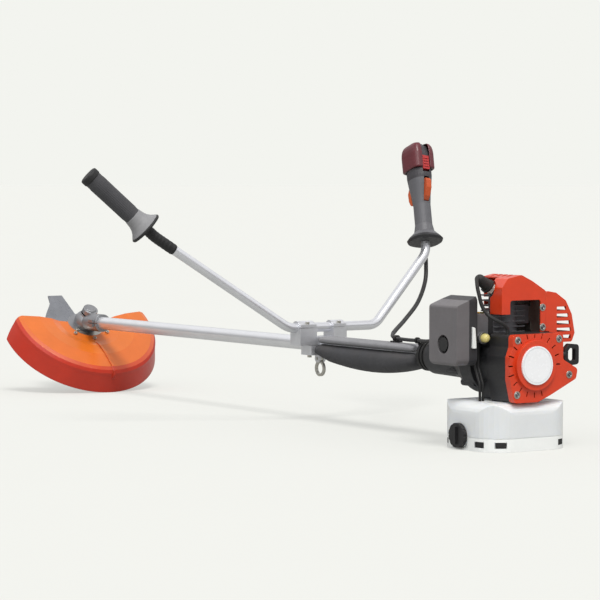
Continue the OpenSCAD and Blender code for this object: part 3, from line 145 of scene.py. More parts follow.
def new_group(name, inputs, outputs):
    """A shader node group with named sockets: {name: (type, default)}."""
    tree = bpy.data.node_groups.new(name, "ShaderNodeTree")
    for key, (kind, default) in inputs.items():
        socket = tree.interface.new_socket(name=key, in_out="INPUT", socket_type="NodeSocket" + kind)
        socket.default_value = default
    for key, kind in outputs.items():
        tree.interface.new_socket(name=key, in_out="OUTPUT", socket_type="NodeSocket" + kind)
    return tree, tree.nodes.new("NodeGroupInput").outputs, tree.nodes.new("NodeGroupOutput").inputs


def use_group(tree, group, **inputs):
    """A shared effect placed in a material, its inputs by name; gives its outputs."""
    made = tree.nodes.new("ShaderNodeGroup")
    made.node_tree = group
    for key, value in inputs.items():
        socket = made.inputs[key.replace("_", " ")]
        if isinstance(value, bpy.types.NodeSocket):
            link(tree, value, socket)
        else:
            socket.default_value = value
    return made.outputs


# ---------- shared effects ----------


def group_tone():
    """Broad, faint patches: slow noise turns the colour lighter and darker, quicker noise varies the roughness."""
    tree, given, out = new_group(
        "surface_tone",
        {"Base": ("Color", (0.5, 0.5, 0.5, 1)), "Scale": ("Float", 20.0), "Amount": ("Float", 0.1),
         "Rough": ("Float", 0.4), "Rough Spread": ("Float", 0.1)},
        {"Color": "Color", "Roughness": "Float"})
    place = node(tree, "TexCoord").outputs["Object"]
    slow = node(tree, "TexNoise", None, Vector=place, Scale=given["Scale"], Detail=6.0, Roughness=0.62).outputs[0]
    quick_scale = math_node(tree, "MULTIPLY", given["Scale"], 9.0)
    quick = node(tree, "TexNoise", None, Vector=place, Scale=quick_scale, Detail=3.0).outputs[0]
    shade = remap(tree, slow, 0.3, 0.7, -1.0, 1.0)
    gain = math_node(tree, "MULTIPLY_ADD", shade, given["Amount"], 1.0)
    scaled = node(tree, "VectorMath", {"operation": "SCALE"}, i0=given["Base"], Scale=gain).outputs[0]
    link(tree, scaled, out["Color"])
    spread = remap(tree, quick, 0.3, 0.7, -0.5, 0.5)
    link(tree, math_node(tree, "MULTIPLY_ADD", spread, given["Rough Spread"], given["Rough"]), out["Roughness"])
    return tree


def group_grain():
    """Height of a moulded or cast skin: cell borders and fine noise, both in cells to the metre."""
    tree, given, out = new_group(
        "skin_grain", {"Cells": ("Float", 900.0), "Mottle": ("Float", 0.5)}, {"Height": "Float"})
    place = node(tree, "TexCoord").outputs["Object"]
    cells = node(tree, "TexVoronoi", {"feature": "SMOOTH_F1"}, Vector=place, Scale=given["Cells"]).outputs[0]
    half = math_node(tree, "MULTIPLY", given["Cells"], 0.35)
    fine = node(tree, "TexNoise", None, Vector=place, Scale=half, Detail=4.0, Roughness=0.6).outputs[0]
    link(tree, math_node(tree, "MULTIPLY_ADD", fine, given["Mottle"], cells), out["Height"])
    return tree


def group_edges():
    """Rounded edges: the normal averaged over a small radius, and a mask where it leaves the surface's own."""
    tree, given, out = new_group(
        "rounded_edges", {"Width": ("Float", 0.0008), "Breakup": ("Float", 60.0)},
        {"Normal": "Vector", "Mask": "Float"})
    soft = node(tree, "Bevel", {"samples": 6}, Radius=given["Width"]).outputs[0]
    own = node(tree, "NewGeometry").outputs["Normal"]
    alike = node(tree, "VectorMath", {"operation": "DOT_PRODUCT"}, i0=soft, i1=own).outputs["Value"]
    turned = remap(tree, alike, 0.995, 0.86)
    place = node(tree, "TexCoord").outputs["Object"]
    worn = node(tree, "TexNoise", None, Vector=place, Scale=given["Breakup"], Detail=5.0).outputs[0]
    link(tree, math_node(tree, "MULTIPLY", turned, remap(tree, worn, 0.38, 0.66)), out["Mask"])
    link(tree, soft, out["Normal"])
    return tree


def group_dust():
    """Dust: a mask that is strong on faces that look up and in slow patches, and fades over the steep ones."""
    tree, given, out = new_group("settled_dust", {"Amount": ("Float", 0.2)}, {"Mask": "Float"})
    up = node(tree, "SeparateXYZ", None, Vector=node(tree, "NewGeometry").outputs["Normal"]).outputs[2]
    place = node(tree, "TexCoord").outputs["Object"]
    patch = node(tree, "TexNoise", None, Vector=place, Scale=16.0, Detail=5.0, Roughness=0.55).outputs[0]
    facing = remap(tree, up, -0.1, 0.95, 0.12, 1.0)
    spots = remap(tree, patch, 0.4, 0.75)
    link(tree, math_node(tree, "MULTIPLY", math_node(tree, "MULTIPLY", facing, spots), given["Amount"]), out["Mask"])
    return tree


def group_brushed():
    """Fine lines along an axis: noise on coordinates squeezed across it, as drawn metal has."""
    tree, given, out = new_group(
        "drawn_lines", {"Squeeze": ("Vector", (30.0, 900.0, 900.0))}, {"Lines": "Float"})
    place = node(tree, "TexCoord").outputs["Object"]
    squeezed = node(tree, "VectorMath", {"operation": "MULTIPLY"}, i0=place, i1=given["Squeeze"]).outputs[0]
    lines = node(tree, "TexNoise", None, Vector=squeezed, Scale=1.0, Detail=4.0, Roughness=0.6).outputs[0]
    link(tree, lines, out["Lines"])
    return tree


TONE, GRAIN, EDGES, DUST, BRUSHED = group_tone(), group_grain(), group_edges(), group_dust(), group_brushed()
DUST_COLOUR = rgb(132, 122, 106)


COAT_ROUGH = 0.12


def finish(name, colour, rough, metal=0.0, tone=0.08, patches=18.0, cells=900.0, depth=0.00004, edge=0.0008,
           worn=None, wear=0.5, dust=0.15, coat=0.0, squeeze=None, lines=0.0, spread=0.12):
    """A material: toned base colour, worn edges, dust, grain as bump on rounded edges, and lines on drawn metal."""
    material = bpy.data.materials.new(name)
    material.use_nodes = True
    tree = material.node_tree
    shader = tree.nodes["Principled BSDF"]
    tone_out = use_group(tree, TONE, Base=colour, Scale=patches, Amount=tone, Rough=rough, Rough_Spread=spread)
    edge_out = use_group(tree, EDGES, Width=edge)
    dust_out = use_group(tree, DUST, Amount=dust)
    worn = worn or tuple(min(1.0, c * 1.5 + 0.03) for c in colour[:3]) + (1.0,)
    worn_mask = math_node(tree, "MULTIPLY", edge_out["Mask"], wear)
    shown = mix(tree, worn_mask, tone_out["Color"], worn)
    shown = mix(tree, dust_out["Mask"], shown, DUST_COLOUR)
    height = use_group(tree, GRAIN, Cells=cells)["Height"]
    if squeeze:
        drawn = use_group(tree, BRUSHED, Squeeze=squeeze)["Lines"]
        height = math_node(tree, "MULTIPLY_ADD", drawn, lines, height)
    bump = node(tree, "Bump", None, Height=height, Distance=depth, Strength=1.0, Normal=edge_out["Normal"])
    link(tree, shown, shader.inputs["Base Color"])
    matt = math_node(tree, "MULTIPLY_ADD", dust_out["Mask"], 0.4, tone_out["Roughness"])
    link(tree, matt, shader.inputs["Roughness"])
    link(tree, bump.outputs[0], shader.inputs["Normal"])
    shader.inputs["Metallic"].default_value = metal
    shader.inputs["Coat Weight"].default_value = coat
    shader.inputs["Coat Roughness"].default_value = COAT_ROUGH
    return material


ENGINE_ORANGE = rgb(210, 58, 20)
GUARD_SIDE = rgb(186, 42, 16)
# Painted highlight colour for the guard's upward faces, lighter and yellower than its own rim colour.
GUARD_TOP_PAINTED_LIGHT = rgb(206, 104, 24)
GUARD_ROUGH = 0.36

FINISHES = {
    "engine_orange": finish("engine_orange", ENGINE_ORANGE, 0.34, coat=0.2, cells=700, depth=0.00002, tone=0.07,
                            worn=rgb(236, 120, 78), wear=0.3, dust=0.05),
    "guard_orange": finish("guard_orange", GUARD_SIDE, GUARD_ROUGH, coat=0.15, cells=500, depth=0.00003, tone=0.08,
                           worn=rgb(242, 140, 80), wear=0.3, dust=0.06, edge=0.0016),
    "trigger_orange": finish("trigger_orange", rgb(214, 92, 34), 0.42, worn=rgb(235, 140, 90), wear=0.4, dust=0.05),
    "lock_orange": finish("lock_orange", rgb(186, 78, 34), 0.45, wear=0.3, dust=0.05),
    "switch_red": finish("switch_red", rgb(176, 24, 26), 0.30, coat=0.3, worn=rgb(220, 110, 100), dust=0.04),
    "cover_grey": finish("cover_grey", rgb(104, 101, 103), 0.55, cells=1400, depth=0.00005, worn=rgb(150, 148, 149),
                         wear=0.35, dust=0.08),
    "handle_grey": finish("handle_grey", rgb(92, 92, 96), 0.50, cells=1500, depth=0.00006, worn=rgb(140, 140, 143),
                          wear=0.35, dust=0.06),
    "base_grey": finish("base_grey", rgb(48, 48, 51), 0.52, cells=1300, depth=0.00005, worn=rgb(95, 95, 98),
                        dust=0.1),
    "shroud_black": finish("shroud_black", rgb(31, 31, 34), 0.44, cells=1300, depth=0.00005, worn=rgb(84, 84, 88),
                           wear=0.4, dust=0.1),
    "black_plastic": finish("black_plastic", rgb(24, 24, 26), 0.42, cells=1300, depth=0.00005, worn=rgb(74, 74, 77),
                            wear=0.4, dust=0.08),
    "black_rubber": finish("black_rubber", rgb(19, 19, 20), 0.62, cells=900, depth=0.00004, worn=rgb(58, 58, 58),
                           wear=0.3, dust=0.1),
    "white_plastic": finish("white_plastic", rgb(238, 240, 238), 0.38, tone=0.02, cells=700, depth=0.00003,
                            worn=rgb(250, 250, 250), wear=0.3, dust=0.04, spread=0.08),
    "foam_yellow": finish("foam_yellow", rgb(176, 160, 84), 0.9, cells=600, depth=0.0006, tone=0.25),
    "ceramic": finish("ceramic", rgb(236, 232, 222), 0.2, tone=0.03, coat=0.5, dust=0.05),
    "brass": finish("brass", rgb(206, 184, 112), 0.32, metal=0.9, cells=1400, depth=0.00003, tone=0.1,
                    worn=rgb(236, 224, 170), wear=0.6, dust=0.1),
    "cast_alloy": finish("cast_alloy", rgb(128, 128, 131), 0.48, metal=0.8, cells=1100, depth=0.00010, tone=0.12,
                         worn=rgb(215, 215, 215), wear=0.6, dust=0.15),
    "gear_head": finish("gear_head", rgb(150, 151, 154), 0.42, metal=0.85, cells=1100, depth=0.00010, tone=0.1,
                        worn=rgb(225, 225, 225), wear=0.6, dust=0.12),
    "fin_alloy": finish("fin_alloy", rgb(86, 86, 90), 0.5, metal=0.6, cells=1000, depth=0.00008, tone=0.14,
                        worn=rgb(176, 176, 178), wear=0.7, dust=0.15),
    "dark_alloy": finish("dark_alloy", rgb(46, 47, 50), 0.48, metal=0.2, cells=1000, depth=0.00008,
                         worn=rgb(130, 130, 132), wear=0.6, dust=0.12),
    "tube_alloy": finish("tube_alloy", rgb(226, 227, 230), 0.34, metal=0.8, cells=300, depth=0.000003, tone=0.03,
                         squeeze=(6.0, 420.0, 420.0), lines=1.0, wear=0.2, dust=0.03, spread=0.08),
    "bar_alloy": finish("bar_alloy", rgb(220, 221, 225), 0.33, metal=0.8, cells=300, depth=0.000003, tone=0.04,
                        wear=0.2, dust=0.03, spread=0.08),
    "bracket_alloy": finish("bracket_alloy", rgb(214, 215, 219), 0.38, metal=0.75, cells=1200, depth=0.00007,
                            worn=rgb(240, 240, 240), wear=0.6, dust=0.08),
    "blade_steel": finish("blade_steel", rgb(150, 152, 157), 0.3, metal=0.95, cells=300, depth=0.00002, tone=0.12,
                          squeeze=(1500.0, 60.0, 60.0), lines=2.0, worn=rgb(235, 235, 235), wear=0.8, dust=0.08),
    "zinc_steel": finish("zinc_steel", rgb(186, 184, 176), 0.34, metal=0.95, cells=1400, depth=0.00002, tone=0.1,
                         worn=rgb(230, 230, 230), wear=0.6, dust=0.08),
    "dark_steel": finish("dark_steel", rgb(128, 128, 130), 0.34, metal=0.95, cells=1200, depth=0.00002, tone=0.12,
                         worn=rgb(220, 220, 220), wear=0.6, dust=0.08),
    "hot_steel": finish("hot_steel", rgb(98, 92, 86), 0.5, metal=0.7, cells=700, depth=0.00005, tone=0.3, patches=30,
                        worn=rgb(170, 160, 150), wear=0.6, dust=0.1),
    "pad_foam": finish("pad_foam", rgb(60, 60, 63), 0.78, cells=2600, depth=0.0002, tone=0.12, patches=26, dust=0.12,
                       worn=rgb(96, 96, 98), wear=0.4, edge=0.002),
    # Painted highlight: the pad's upper half takes a lighter grey than the belly's foam, standing for the light from
    # above on its top.
    "pad_top_painted_highlight": finish("pad_top_painted_highlight", rgb(128, 128, 131), 0.74, cells=2600, depth=0.0002, tone=0.1, patches=26,
                           worn=rgb(164, 164, 166), wear=0.4, dust=0.1, edge=0.002),
    "grip_dark": finish("grip_dark", rgb(62, 62, 65), 0.66, cells=1800, depth=0.00015, tone=0.1, patches=30,
                        worn=rgb(98, 98, 100), wear=0.4, dust=0.08, edge=0.001),
    "grip_flange_grey": finish("grip_flange_grey", rgb(132, 132, 134), 0.6, cells=1800, depth=0.0001, tone=0.08,
                               worn=rgb(170, 170, 172), wear=0.4, dust=0.08, edge=0.001),
    "grip_black": finish("grip_black", rgb(23, 23, 24), 0.6, cells=1200, depth=0.00006, worn=rgb(66, 66, 67),
                         wear=0.4, dust=0.08),
    "head_red": finish("head_red", rgb(92, 24, 34), 0.38, coat=0.2, cells=900, depth=0.00003, dust=0.03,
                       worn=rgb(160, 70, 76), wear=0.3),
    "hose_black": finish("hose_black", rgb(20, 20, 21), 0.5, cells=1500, depth=0.00004, worn=rgb(56, 56, 57),
                         wear=0.3, dust=0.06, edge=0.0003),
}


def guard_finish():
    """The guard's orange plastic: its own red on the rim, and a yellower painted highlight on faces that look up, such
    as its crown, where the light from above falls.
    """
    tree = FINISHES["guard_orange"].node_tree
    shader = tree.nodes["Principled BSDF"]
    up = node(tree, "SeparateXYZ", None, Vector=node(tree, "NewGeometry").outputs["Normal"]).outputs[2]
    # Painted highlight: the more a face looks up, the more it takes the lighter, yellower top colour, standing for the
    # light from above.
    lit = remap(tree, up, 0.50, 0.80)
    toned = use_group(tree, TONE, Base=GUARD_TOP_PAINTED_LIGHT, Scale=9.0, Amount=0.1, Rough=GUARD_ROUGH, Rough_Spread=0.1)["Color"]
    base = shader.inputs["Base Color"].links[0].from_socket
    link(tree, mix(tree, lit, base, toned), shader.inputs["Base Color"])


guard_finish()


def badge_finish():
    """The starter's bare white disc: a pressed ring near its rim, as bump on its radius."""
    material = finish("badge_white", rgb(240, 241, 243), 0.25, tone=0.02, coat=0.5, dust=0.03, depth=0.00001)
    tree = material.node_tree
    low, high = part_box("starter_badge")
    middle = (low + high) / 2
    place = node(tree, "TexCoord").outputs["Object"]
    away = node(tree, "VectorMath", {"operation": "SUBTRACT"}, i0=place, i1=tuple(middle)).outputs[0]
    flat = node(tree, "VectorMath", {"operation": "MULTIPLY"}, i0=away, i1=(0.0, 1.0, 1.0)).outputs[0]
    radius = node(tree, "VectorMath", {"operation": "LENGTH"}, i0=flat).outputs["Value"]
    rim = (high.z - low.z) / 2
    ring = math_node(tree, "COMPARE", radius, rim * 0.9, rim * 0.025)
    shader = tree.nodes["Principled BSDF"]
    under = shader.inputs["Normal"].links[0].from_socket
    pressed = node(tree, "Bump", {"invert": True}, Height=ring, Distance=0.0006, Strength=0.8, Normal=under)
    link(tree, pressed.outputs[0], shader.inputs["Normal"])
    base = shader.inputs["Base Color"].links[0].from_socket
    # Painted shade: the pressed ring's groove is coloured a darker bluish grey.
    ring_painted_shade = math_node(tree, "MULTIPLY", ring, 0.35)
    link(tree, mix(tree, ring_painted_shade, base, rgb(196, 200, 206)), shader.inputs["Base Color"])
    return material


FINISHES["badge_white"] = badge_finish()


def translucent(name, colour, rough, depth_mix, tone=0.03):
    """A milky moulded plastic: light wanders a little way under its skin."""
    material = finish(name, colour, rough, tone=tone, cells=600, depth=0.00003, dust=0.04, spread=0.06)
    shader = material.node_tree.nodes["Principled BSDF"]
    shader.inputs["Subsurface Weight"].default_value = depth_mix
    shader.inputs["Subsurface Radius"].default_value = (0.012, 0.011, 0.009)
    shader.inputs["Subsurface Scale"].default_value = 1.0
    return material


FINISHES["tank_milky"] = translucent("tank_milky", rgb(240, 242, 238), 0.34, 0.6)
FINISHES["bulb_milky"] = translucent("bulb_milky", rgb(214, 200, 128), 0.25, 0.5, tone=0.08)

NODE_FINISH = {
    "engine_orange": ["cylinder_cover", "starter_housing", "muffler_guard"],
    "guard_orange": ["guard"],
    "trigger_orange": ["throttle_trigger"],
    "lock_orange": ["trigger_lockout"],
    "switch_red": ["stop_switch"],
    "cover_grey": ["filter_cover"],
    "shroud_black": ["fan_housing"],
    "handle_grey": ["throttle_housing"],
    "base_grey": ["filter_base", "starter_pulley"],
    "black_plastic": ["fuel_cap", "filter_knob", "ignition_coil", "inlet_block", "starter_handle", "tube_bushes"],
    "black_rubber": ["plug_boot", "fuel_lines", "av_sleeve", "cable_clips", "throttle_hose", "hip_pad", "left_grip"],
    "white_plastic": ["stand", "choke_lever"],
    "badge_white": ["starter_badge"],
    "tank_milky": ["fuel_tank"],
    "bulb_milky": ["primer_bulb"],
    "foam_yellow": ["filter_element"],
    "ceramic": ["spark_plug"],
    "cast_alloy": ["flywheel", "carburettor"],
    "fin_alloy": ["finned_cylinder"],
    "brass": ["carb_lever"],
    "gear_head": ["gearcase"],
    "dark_alloy": ["clutch_housing", "crankcase"],
    "tube_alloy": ["shaft_tube"],
    "bar_alloy": ["handlebar_tube"],
    "bracket_alloy": ["bracket_base", "bracket_caps"],
    "blade_steel": ["blade"],
    "zinc_steel": ["screws", "harness_ring", "guard_bracket", "blade_clamp", "drive_disc"],
    "dark_steel": ["ball_bearings", "crankshaft", "clutch_shoes", "starter_cup", "clutch_drum", "drive_shaft",
                   "bevel_pinion", "bevel_gear", "arbor_shaft", "recoil_spring"],
    "hot_steel": ["muffler"],
}


def dress(piece, material):
    """Gives a piece one material in all its slots."""
    piece.data.materials.clear()
    piece.data.materials.append(material)


for finish_name, members in NODE_FINISH.items():
    for member in members:
        dress(frame["nodes"][member], FINISHES[finish_name])

# ---------- surfaces ----------


def skin(name, grid, material, body, closed=(True, True)):
    """A smooth mesh over a grid of points [rings, around, 3]. Each ring is a closed loop; closed says which of the two
    end rings are filled. It rides on body, unless that is None."""
    rings, around = grid.shape[:2]
    points = np.concatenate([grid.reshape(-1, 3), grid[0].mean(0)[None], grid[-1].mean(0)[None]])
    ring, step = np.meshgrid(np.arange(rings - 1), np.arange(around), indexing="ij")
    after = (step + 1) % around
    walls = np.stack([ring * around + step, ring * around + after, (ring + 1) * around + after,
                      (ring + 1) * around + step], -1).reshape(-1, 4)
    k = np.arange(around)
    first = np.stack([np.full(around, rings * around), (k + 1) % around, k], -1)
    base = (rings - 1) * around
    last = np.stack([np.full(around, rings * around + 1), base + k, base + (k + 1) % around], -1)
    faces = walls.tolist() + (first.tolist() if closed[0] else []) + (last.tolist() if closed[1] else [])
    mesh = bpy.data.meshes.new(name)
    mesh.from_pydata(points.tolist(), [], faces)
    mesh.polygons.foreach_set("use_smooth", np.ones(len(mesh.polygons), bool))
    mesh.validate()
    made = bpy.data.objects.new(name, mesh)
    bpy.context.scene.collection.objects.link(made)
    made.data.materials.append(material)
    if body:
        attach(made, body)
    return made


def curve_through(route, steps):
    """A Catmull-Rom curve through the route's points, with the given steps between two of them."""
    p = np.array(route)
    ends = np.concatenate([p[:1], p, p[-1:]])
    t = np.linspace(0, 1, steps, endpoint=False)[None, :, None]
    a, b, c, d = (ends[k:len(p) - 1 + k][:, None] for k in range(4))
    made = 0.5 * (2 * b + (c - a) * t + (2 * a - 5 * b + 4 * c - d) * t**2 + (3 * b - a - 3 * c + d) * t**3)
    return np.concatenate([made.reshape(-1, 3), p[-1:]])


def tube_grid(path, radius, side, around=20):
    """Rings of the given radii square to a path; side is a direction that the path never follows."""
    way = np.gradient(path, axis=0)
    way /= np.linalg.norm(way, axis=1, keepdims=True)
    u = np.cross(way, side)
    u /= np.linalg.norm(u, axis=1, keepdims=True)
    v = np.cross(way, u)
    turn = np.linspace(0, 2 * np.pi, around, endpoint=False)
    ring = np.cos(turn)[None, :, None] * u[:, None] + np.sin(turn)[None, :, None] * v[:, None]
    return path[:, None] + np.broadcast_to(radius, (len(path),))[:, None, None] * ring


def signed_power(value, power):
    """The power of the size, with the value's own sign, for superellipses."""
    return np.sign(value) * np.abs(value) ** power


MM = 0.001
AXIS_H = 0.155      # height of the drive line

# ---------- hip pad ----------

PAD_REAR = -0.250
PAD_LENGTH = 0.334
PAD_HALF_W = 0.033
PAD_DEPTH = 0.045
PAD_SPLIT = 0.004       # height over the tube's axis where the two halves part
PAD_SEAM = 0.0005
STRIP_HALF_T = 0.007


def end_ease(along, reach):
    """Quarter-round ends: 0 at both ends of the pad, 1 from reach onwards."""
    near = np.minimum(along, 1 - along) / reach
    return np.sqrt(1 - (1 - np.clip(near, 0, 1)) ** 2)


def pad_belly():
    """The lower half: across the tube a superellipse whose depth swells along the pad, with round ends and three
    shallow sewn channels."""
    along = np.linspace(0.0015, 0.9985, 260)[:, None]
    turn = np.linspace(0, 2 * np.pi, 120, endpoint=False)[None, :]
    depth = PAD_DEPTH * (0.52 + 0.48 * np.sin(np.pi * along**0.85) ** 0.8 - 0.06 * (1 - along))
    depth = depth * (1 - 0.24 * np.clip((along - 0.86) / 0.14, 0, 1))  # room for the swinging harness ring
    ease = end_ease(along, 0.045)
    tall = (depth + PAD_SPLIT - PAD_SEAM) / 2
    centre = AXIS_H + PAD_SPLIT - PAD_SEAM - tall
    wide = PAD_HALF_W * (0.86 + 0.14 * ease)
    y = wide * ease**0.35 * signed_power(np.cos(turn), 0.80)
    up = signed_power(np.sin(turn), 0.80)
    z = centre + tall * (0.80 + 0.20 * ease) * ease**0.25 * up
    below = np.clip(-up, 0, 1)
    channel = sum(np.exp(-((along - at) / 0.008) ** 2) for at in (0.25, 0.5, 0.75))
    swell = 1 - 0.035 * channel * below
    y = y * swell
    z = AXIS_H + (z - AXIS_H) * swell
    x = PAD_REAR - along * PAD_LENGTH + 0 * turn
    return np.stack(np.broadcast_arrays(x, y, z), -1)


def pad_strip():
    """The upper half: a low pillow on top of the tube, with round ends and sides that pull in at two channels."""
    along = np.linspace(0.0015, 0.9985, 220)[:, None]
    turn = np.linspace(0, 2 * np.pi, 96, endpoint=False)[None, :]
    ease = end_ease(along, 0.04)
    channel = sum(np.exp(-((along - at) / 0.007) ** 2) for at in (0.33, 0.67))
    up = signed_power(np.sin(turn), 0.75)
    y = (PAD_HALF_W - STRIP_HALF_T) * ease**0.4 * signed_power(np.cos(turn), 0.66)
    crown = 1 - 0.12 * channel * np.clip(up, 0, 1)
    z = AXIS_H + PAD_SPLIT + STRIP_HALF_T + STRIP_HALF_T * ease**0.5 * up * crown
    x = PAD_REAR - 0.004 - along * (PAD_LENGTH - 0.008) + 0 * turn
    return np.stack(np.broadcast_arrays(x, y, z), -1)


belly = skin("hip_pad_belly", pad_belly(), FINISHES["pad_foam"], "main")
# The upper half wears the lighter grey: painted highlight on the pad's top.
strip = skin("hip_pad_strip", pad_strip(), FINISHES["pad_top_painted_highlight"], "main")
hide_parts("hip_pad")

# ---------- handlebar frame ----------

BAR_AT = np.array([-0.602, 0.0, 0.190])
BAR_LEAN = np.radians(20)
# An arm's end in the bar's plane, as distance across and up, and the turn of what sits on it
LEFT_END = (-0.345, 0.196)
LEFT_TURN = np.radians(43.9)
RIGHT_END = (0.301, 0.152)
RIGHT_TURN = np.radians(-8)
ARM_FOOT = (-0.076, 0.0)


def on_arm(points, end, turn):
    """Points from the frame of a grip, Z out along it, to the row frame."""
    x, y, z = points[..., 0], points[..., 1], points[..., 2]
    across = end[0] + y * np.cos(turn) - z * np.sin(turn)
    high = end[1] + y * np.sin(turn) + z * np.cos(turn)
    lean_x = x * np.cos(BAR_LEAN) - high * np.sin(BAR_LEAN)
    lean_z = x * np.sin(BAR_LEAN) + high * np.cos(BAR_LEAN)
    return BAR_AT + np.stack([lean_x, across, lean_z], -1)


def on_left_grip(points):
    return on_arm(points, LEFT_END, LEFT_TURN)


def on_handle(points):
    return on_arm(points, RIGHT_END, RIGHT_TURN)


def turned_grid(profile, rings, around, ridges=0, ridge_h=0.0, ridge_from=0.0, ridge_to=1.0):
    """A profile of radius and height turned round Z, resampled evenly along its length; ridges run along it between
    two heights, each a raised cosine."""
    p = np.array(profile)
    run = np.concatenate([[0], np.cumsum(np.hypot(*np.diff(p, axis=0).T))])
    at = np.linspace(0, run[-1], rings)
    radius, height = np.interp(at, run, p[:, 0]), np.interp(at, run, p[:, 1])
    turn = np.linspace(0, 2 * np.pi, around, endpoint=False)
    fade = np.clip((height - ridge_from) / 0.004, 0, 1) * np.clip((ridge_to - height) / 0.004, 0, 1)
    full = radius[:, None] + ridge_h * fade[:, None] * (0.5 + 0.5 * np.cos(ridges * turn))[None, :]
    return np.stack([full * np.cos(turn), full * np.sin(turn), np.broadcast_to(height[:, None], full.shape)], -1)


# Profiles of the left grip: radius and height along it
sleeve_profile = np.array([[11, 42], [17.0, 43], [17.4, 45], [17.6, 120], [18.0, 163], [18.2, 166.5],
                           [10, 167]]) * MM
flange_profile = np.array([[11, 27], [30, 27], [33.6, 27.4], [33.8, 28.4], [31, 31], [26.5, 35.5], [22.6, 41.5],
                           [20.2, 48], [18.9, 55], [18.2, 60], [16.4, 61]]) * MM
rim_profile = np.array([[10.5, 20.4], [16, 20.6], [30, 21.2], [34.5, 22.2], [35.9, 24.2], [35.6, 26.4],
                        [33.6, 27.8], [28, 27.9], [12, 28]]) * MM
end_profile = np.array([[11, 166], [18.6, 166.4], [19.4, 168], [19.5, 176], [18.8, 178.6], [16.6, 179.9],
                        [8, 180]]) * MM
ridged = turned_grid(sleeve_profile, 200, 180, ridges=30, ridge_h=0.0006, ridge_from=0.066, ridge_to=0.158)
sleeve = skin("left_grip_sleeve", on_left_grip(ridged), FINISHES["grip_dark"], "handlebar",
              closed=(False, False))
for name, profile, rings, finish_name, last in (("flange", flange_profile, 90, "grip_flange_grey", False),
                                                ("rim", rim_profile, 60, "grip_black", False),
                                                ("end", end_profile, 60, "grip_black", True)):
    skin("left_grip_" + name, on_left_grip(turned_grid(profile, rings, 120)), FINISHES[finish_name], "handlebar",
         closed=(False, last))
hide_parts("left_grip")


def bar_sleeve():
    """The black sleeve on the bar below the left grip: a ribbed tube over the bar's slight bend that thins at its lower
    end."""
    out = np.array([-np.sin(LEFT_TURN), np.cos(LEFT_TURN)])
    arm = np.array(LEFT_END) - np.array(ARM_FOOT)
    arm /= np.linalg.norm(arm)
    end = np.array(LEFT_END)
    flat = np.array([end + out * 0.0215, end + out * 0.012, end + out * 0.004 - arm * 0.0001, end - arm * 0.008,
                     end - arm * 0.020, end - arm * 0.034, end - arm * 0.048])
    across, high = flat[:, 0], flat[:, 1]
    row = BAR_AT + np.stack([-high * np.sin(BAR_LEAN), across, high * np.cos(BAR_LEAN)], -1)
    path = curve_through(row, 14)
    along = np.linspace(0, 1, len(path))
    wrap = 0.0004 * (0.5 + 0.5 * np.cos(2 * np.pi * along * 9))
    taper = 0.0012 * np.clip((along - 0.93) / 0.07, 0, 1)
    return tube_grid(path, 0.0112 - wrap - taper, (1.0, 0.0, 0.3), 48)


skin("left_bar_sleeve", bar_sleeve(), FINISHES["grip_black"], "handlebar", closed=(False, False))

# ---------- head of the throttle handle ----------

HEAD_FROM = 0.1585      # heights along the handle where its colours change
FLANGE_TO = 0.0330
CHANGE = 0.0005


def handle_finish():
    """The throttle handle's grey plastic by height along the handle: black at the flange, dark grey at the head."""
    tree = FINISHES["handle_grey"].node_tree
    shader = tree.nodes["Principled BSDF"]
    foot = on_handle(np.zeros(3))
    way = on_handle(np.array([0.0, 0.0, 1.0])) - foot
    at = node(tree, "TexCoord").outputs["Object"]
    dot = node(tree, "VectorMath", {"operation": "DOT_PRODUCT"}, i0=at, i1=tuple(way)).outputs["Value"]
    high = math_node(tree, "SUBTRACT", dot, float(foot @ way))
    base = shader.inputs["Base Color"].links[0].from_socket
    head = mix(tree, remap(tree, high, HEAD_FROM, HEAD_FROM + CHANGE), base, rgb(60, 58, 62))
    over_flange = remap(tree, high, FLANGE_TO, FLANGE_TO + CHANGE)
    link(tree, mix(tree, over_flange, rgb(30, 30, 32), head), shader.inputs["Base Color"])


handle_finish()


def wrapped_grid(sections, gap, thick, power=4.6):
    """A cover bent round the head and open toward +X: each ring runs round a superellipse from one side of the gap to
    the other and back along its inner face. A section gives height, half depth in X, half width in Y."""
    s = np.array(sections) * MM
    run = np.concatenate([[0], np.cumsum(np.linalg.norm(np.diff(s, axis=0), axis=1))])
    at = np.linspace(0, run[-1], 60)
    height, deep, wide = (np.interp(at, run, s[:, k])[:, None] for k in range(3))
    first = np.arcsin((gap / wide) ** (power / 2))
    share = np.linspace(0, 1, 150)[None, :]
    out = first + (2 * np.pi - 2 * first) * share
    turn = np.concatenate([out, out[:, ::-1]], 1)
    inset = np.concatenate([0 * share, 0 * share + thick], 1)
    x = (deep - inset) * signed_power(np.cos(turn), 2 / power)
    y = (wide - inset) * signed_power(np.sin(turn), 2 / power)
    return np.stack([x, y, height + 0 * turn], -1)


cap_sections = [[180, 28.2, 23.2], [180.3, 30.0, 25.0], [181.6, 30.8, 25.8], [214, 31.0, 26.0],
                [222, 30.4, 25.4], [229, 28.8, 24.0], [234, 26.0, 21.6], [236, 23.6, 19.6], [236.4, 21.6, 17.8]]
head_cap = wrapped_grid(cap_sections, gap=0.0094, thick=0.0014)
skin("throttle_head_cap", on_handle(head_cap), FINISHES["head_red"], "handlebar")


# ---------- small parts on the engine ----------


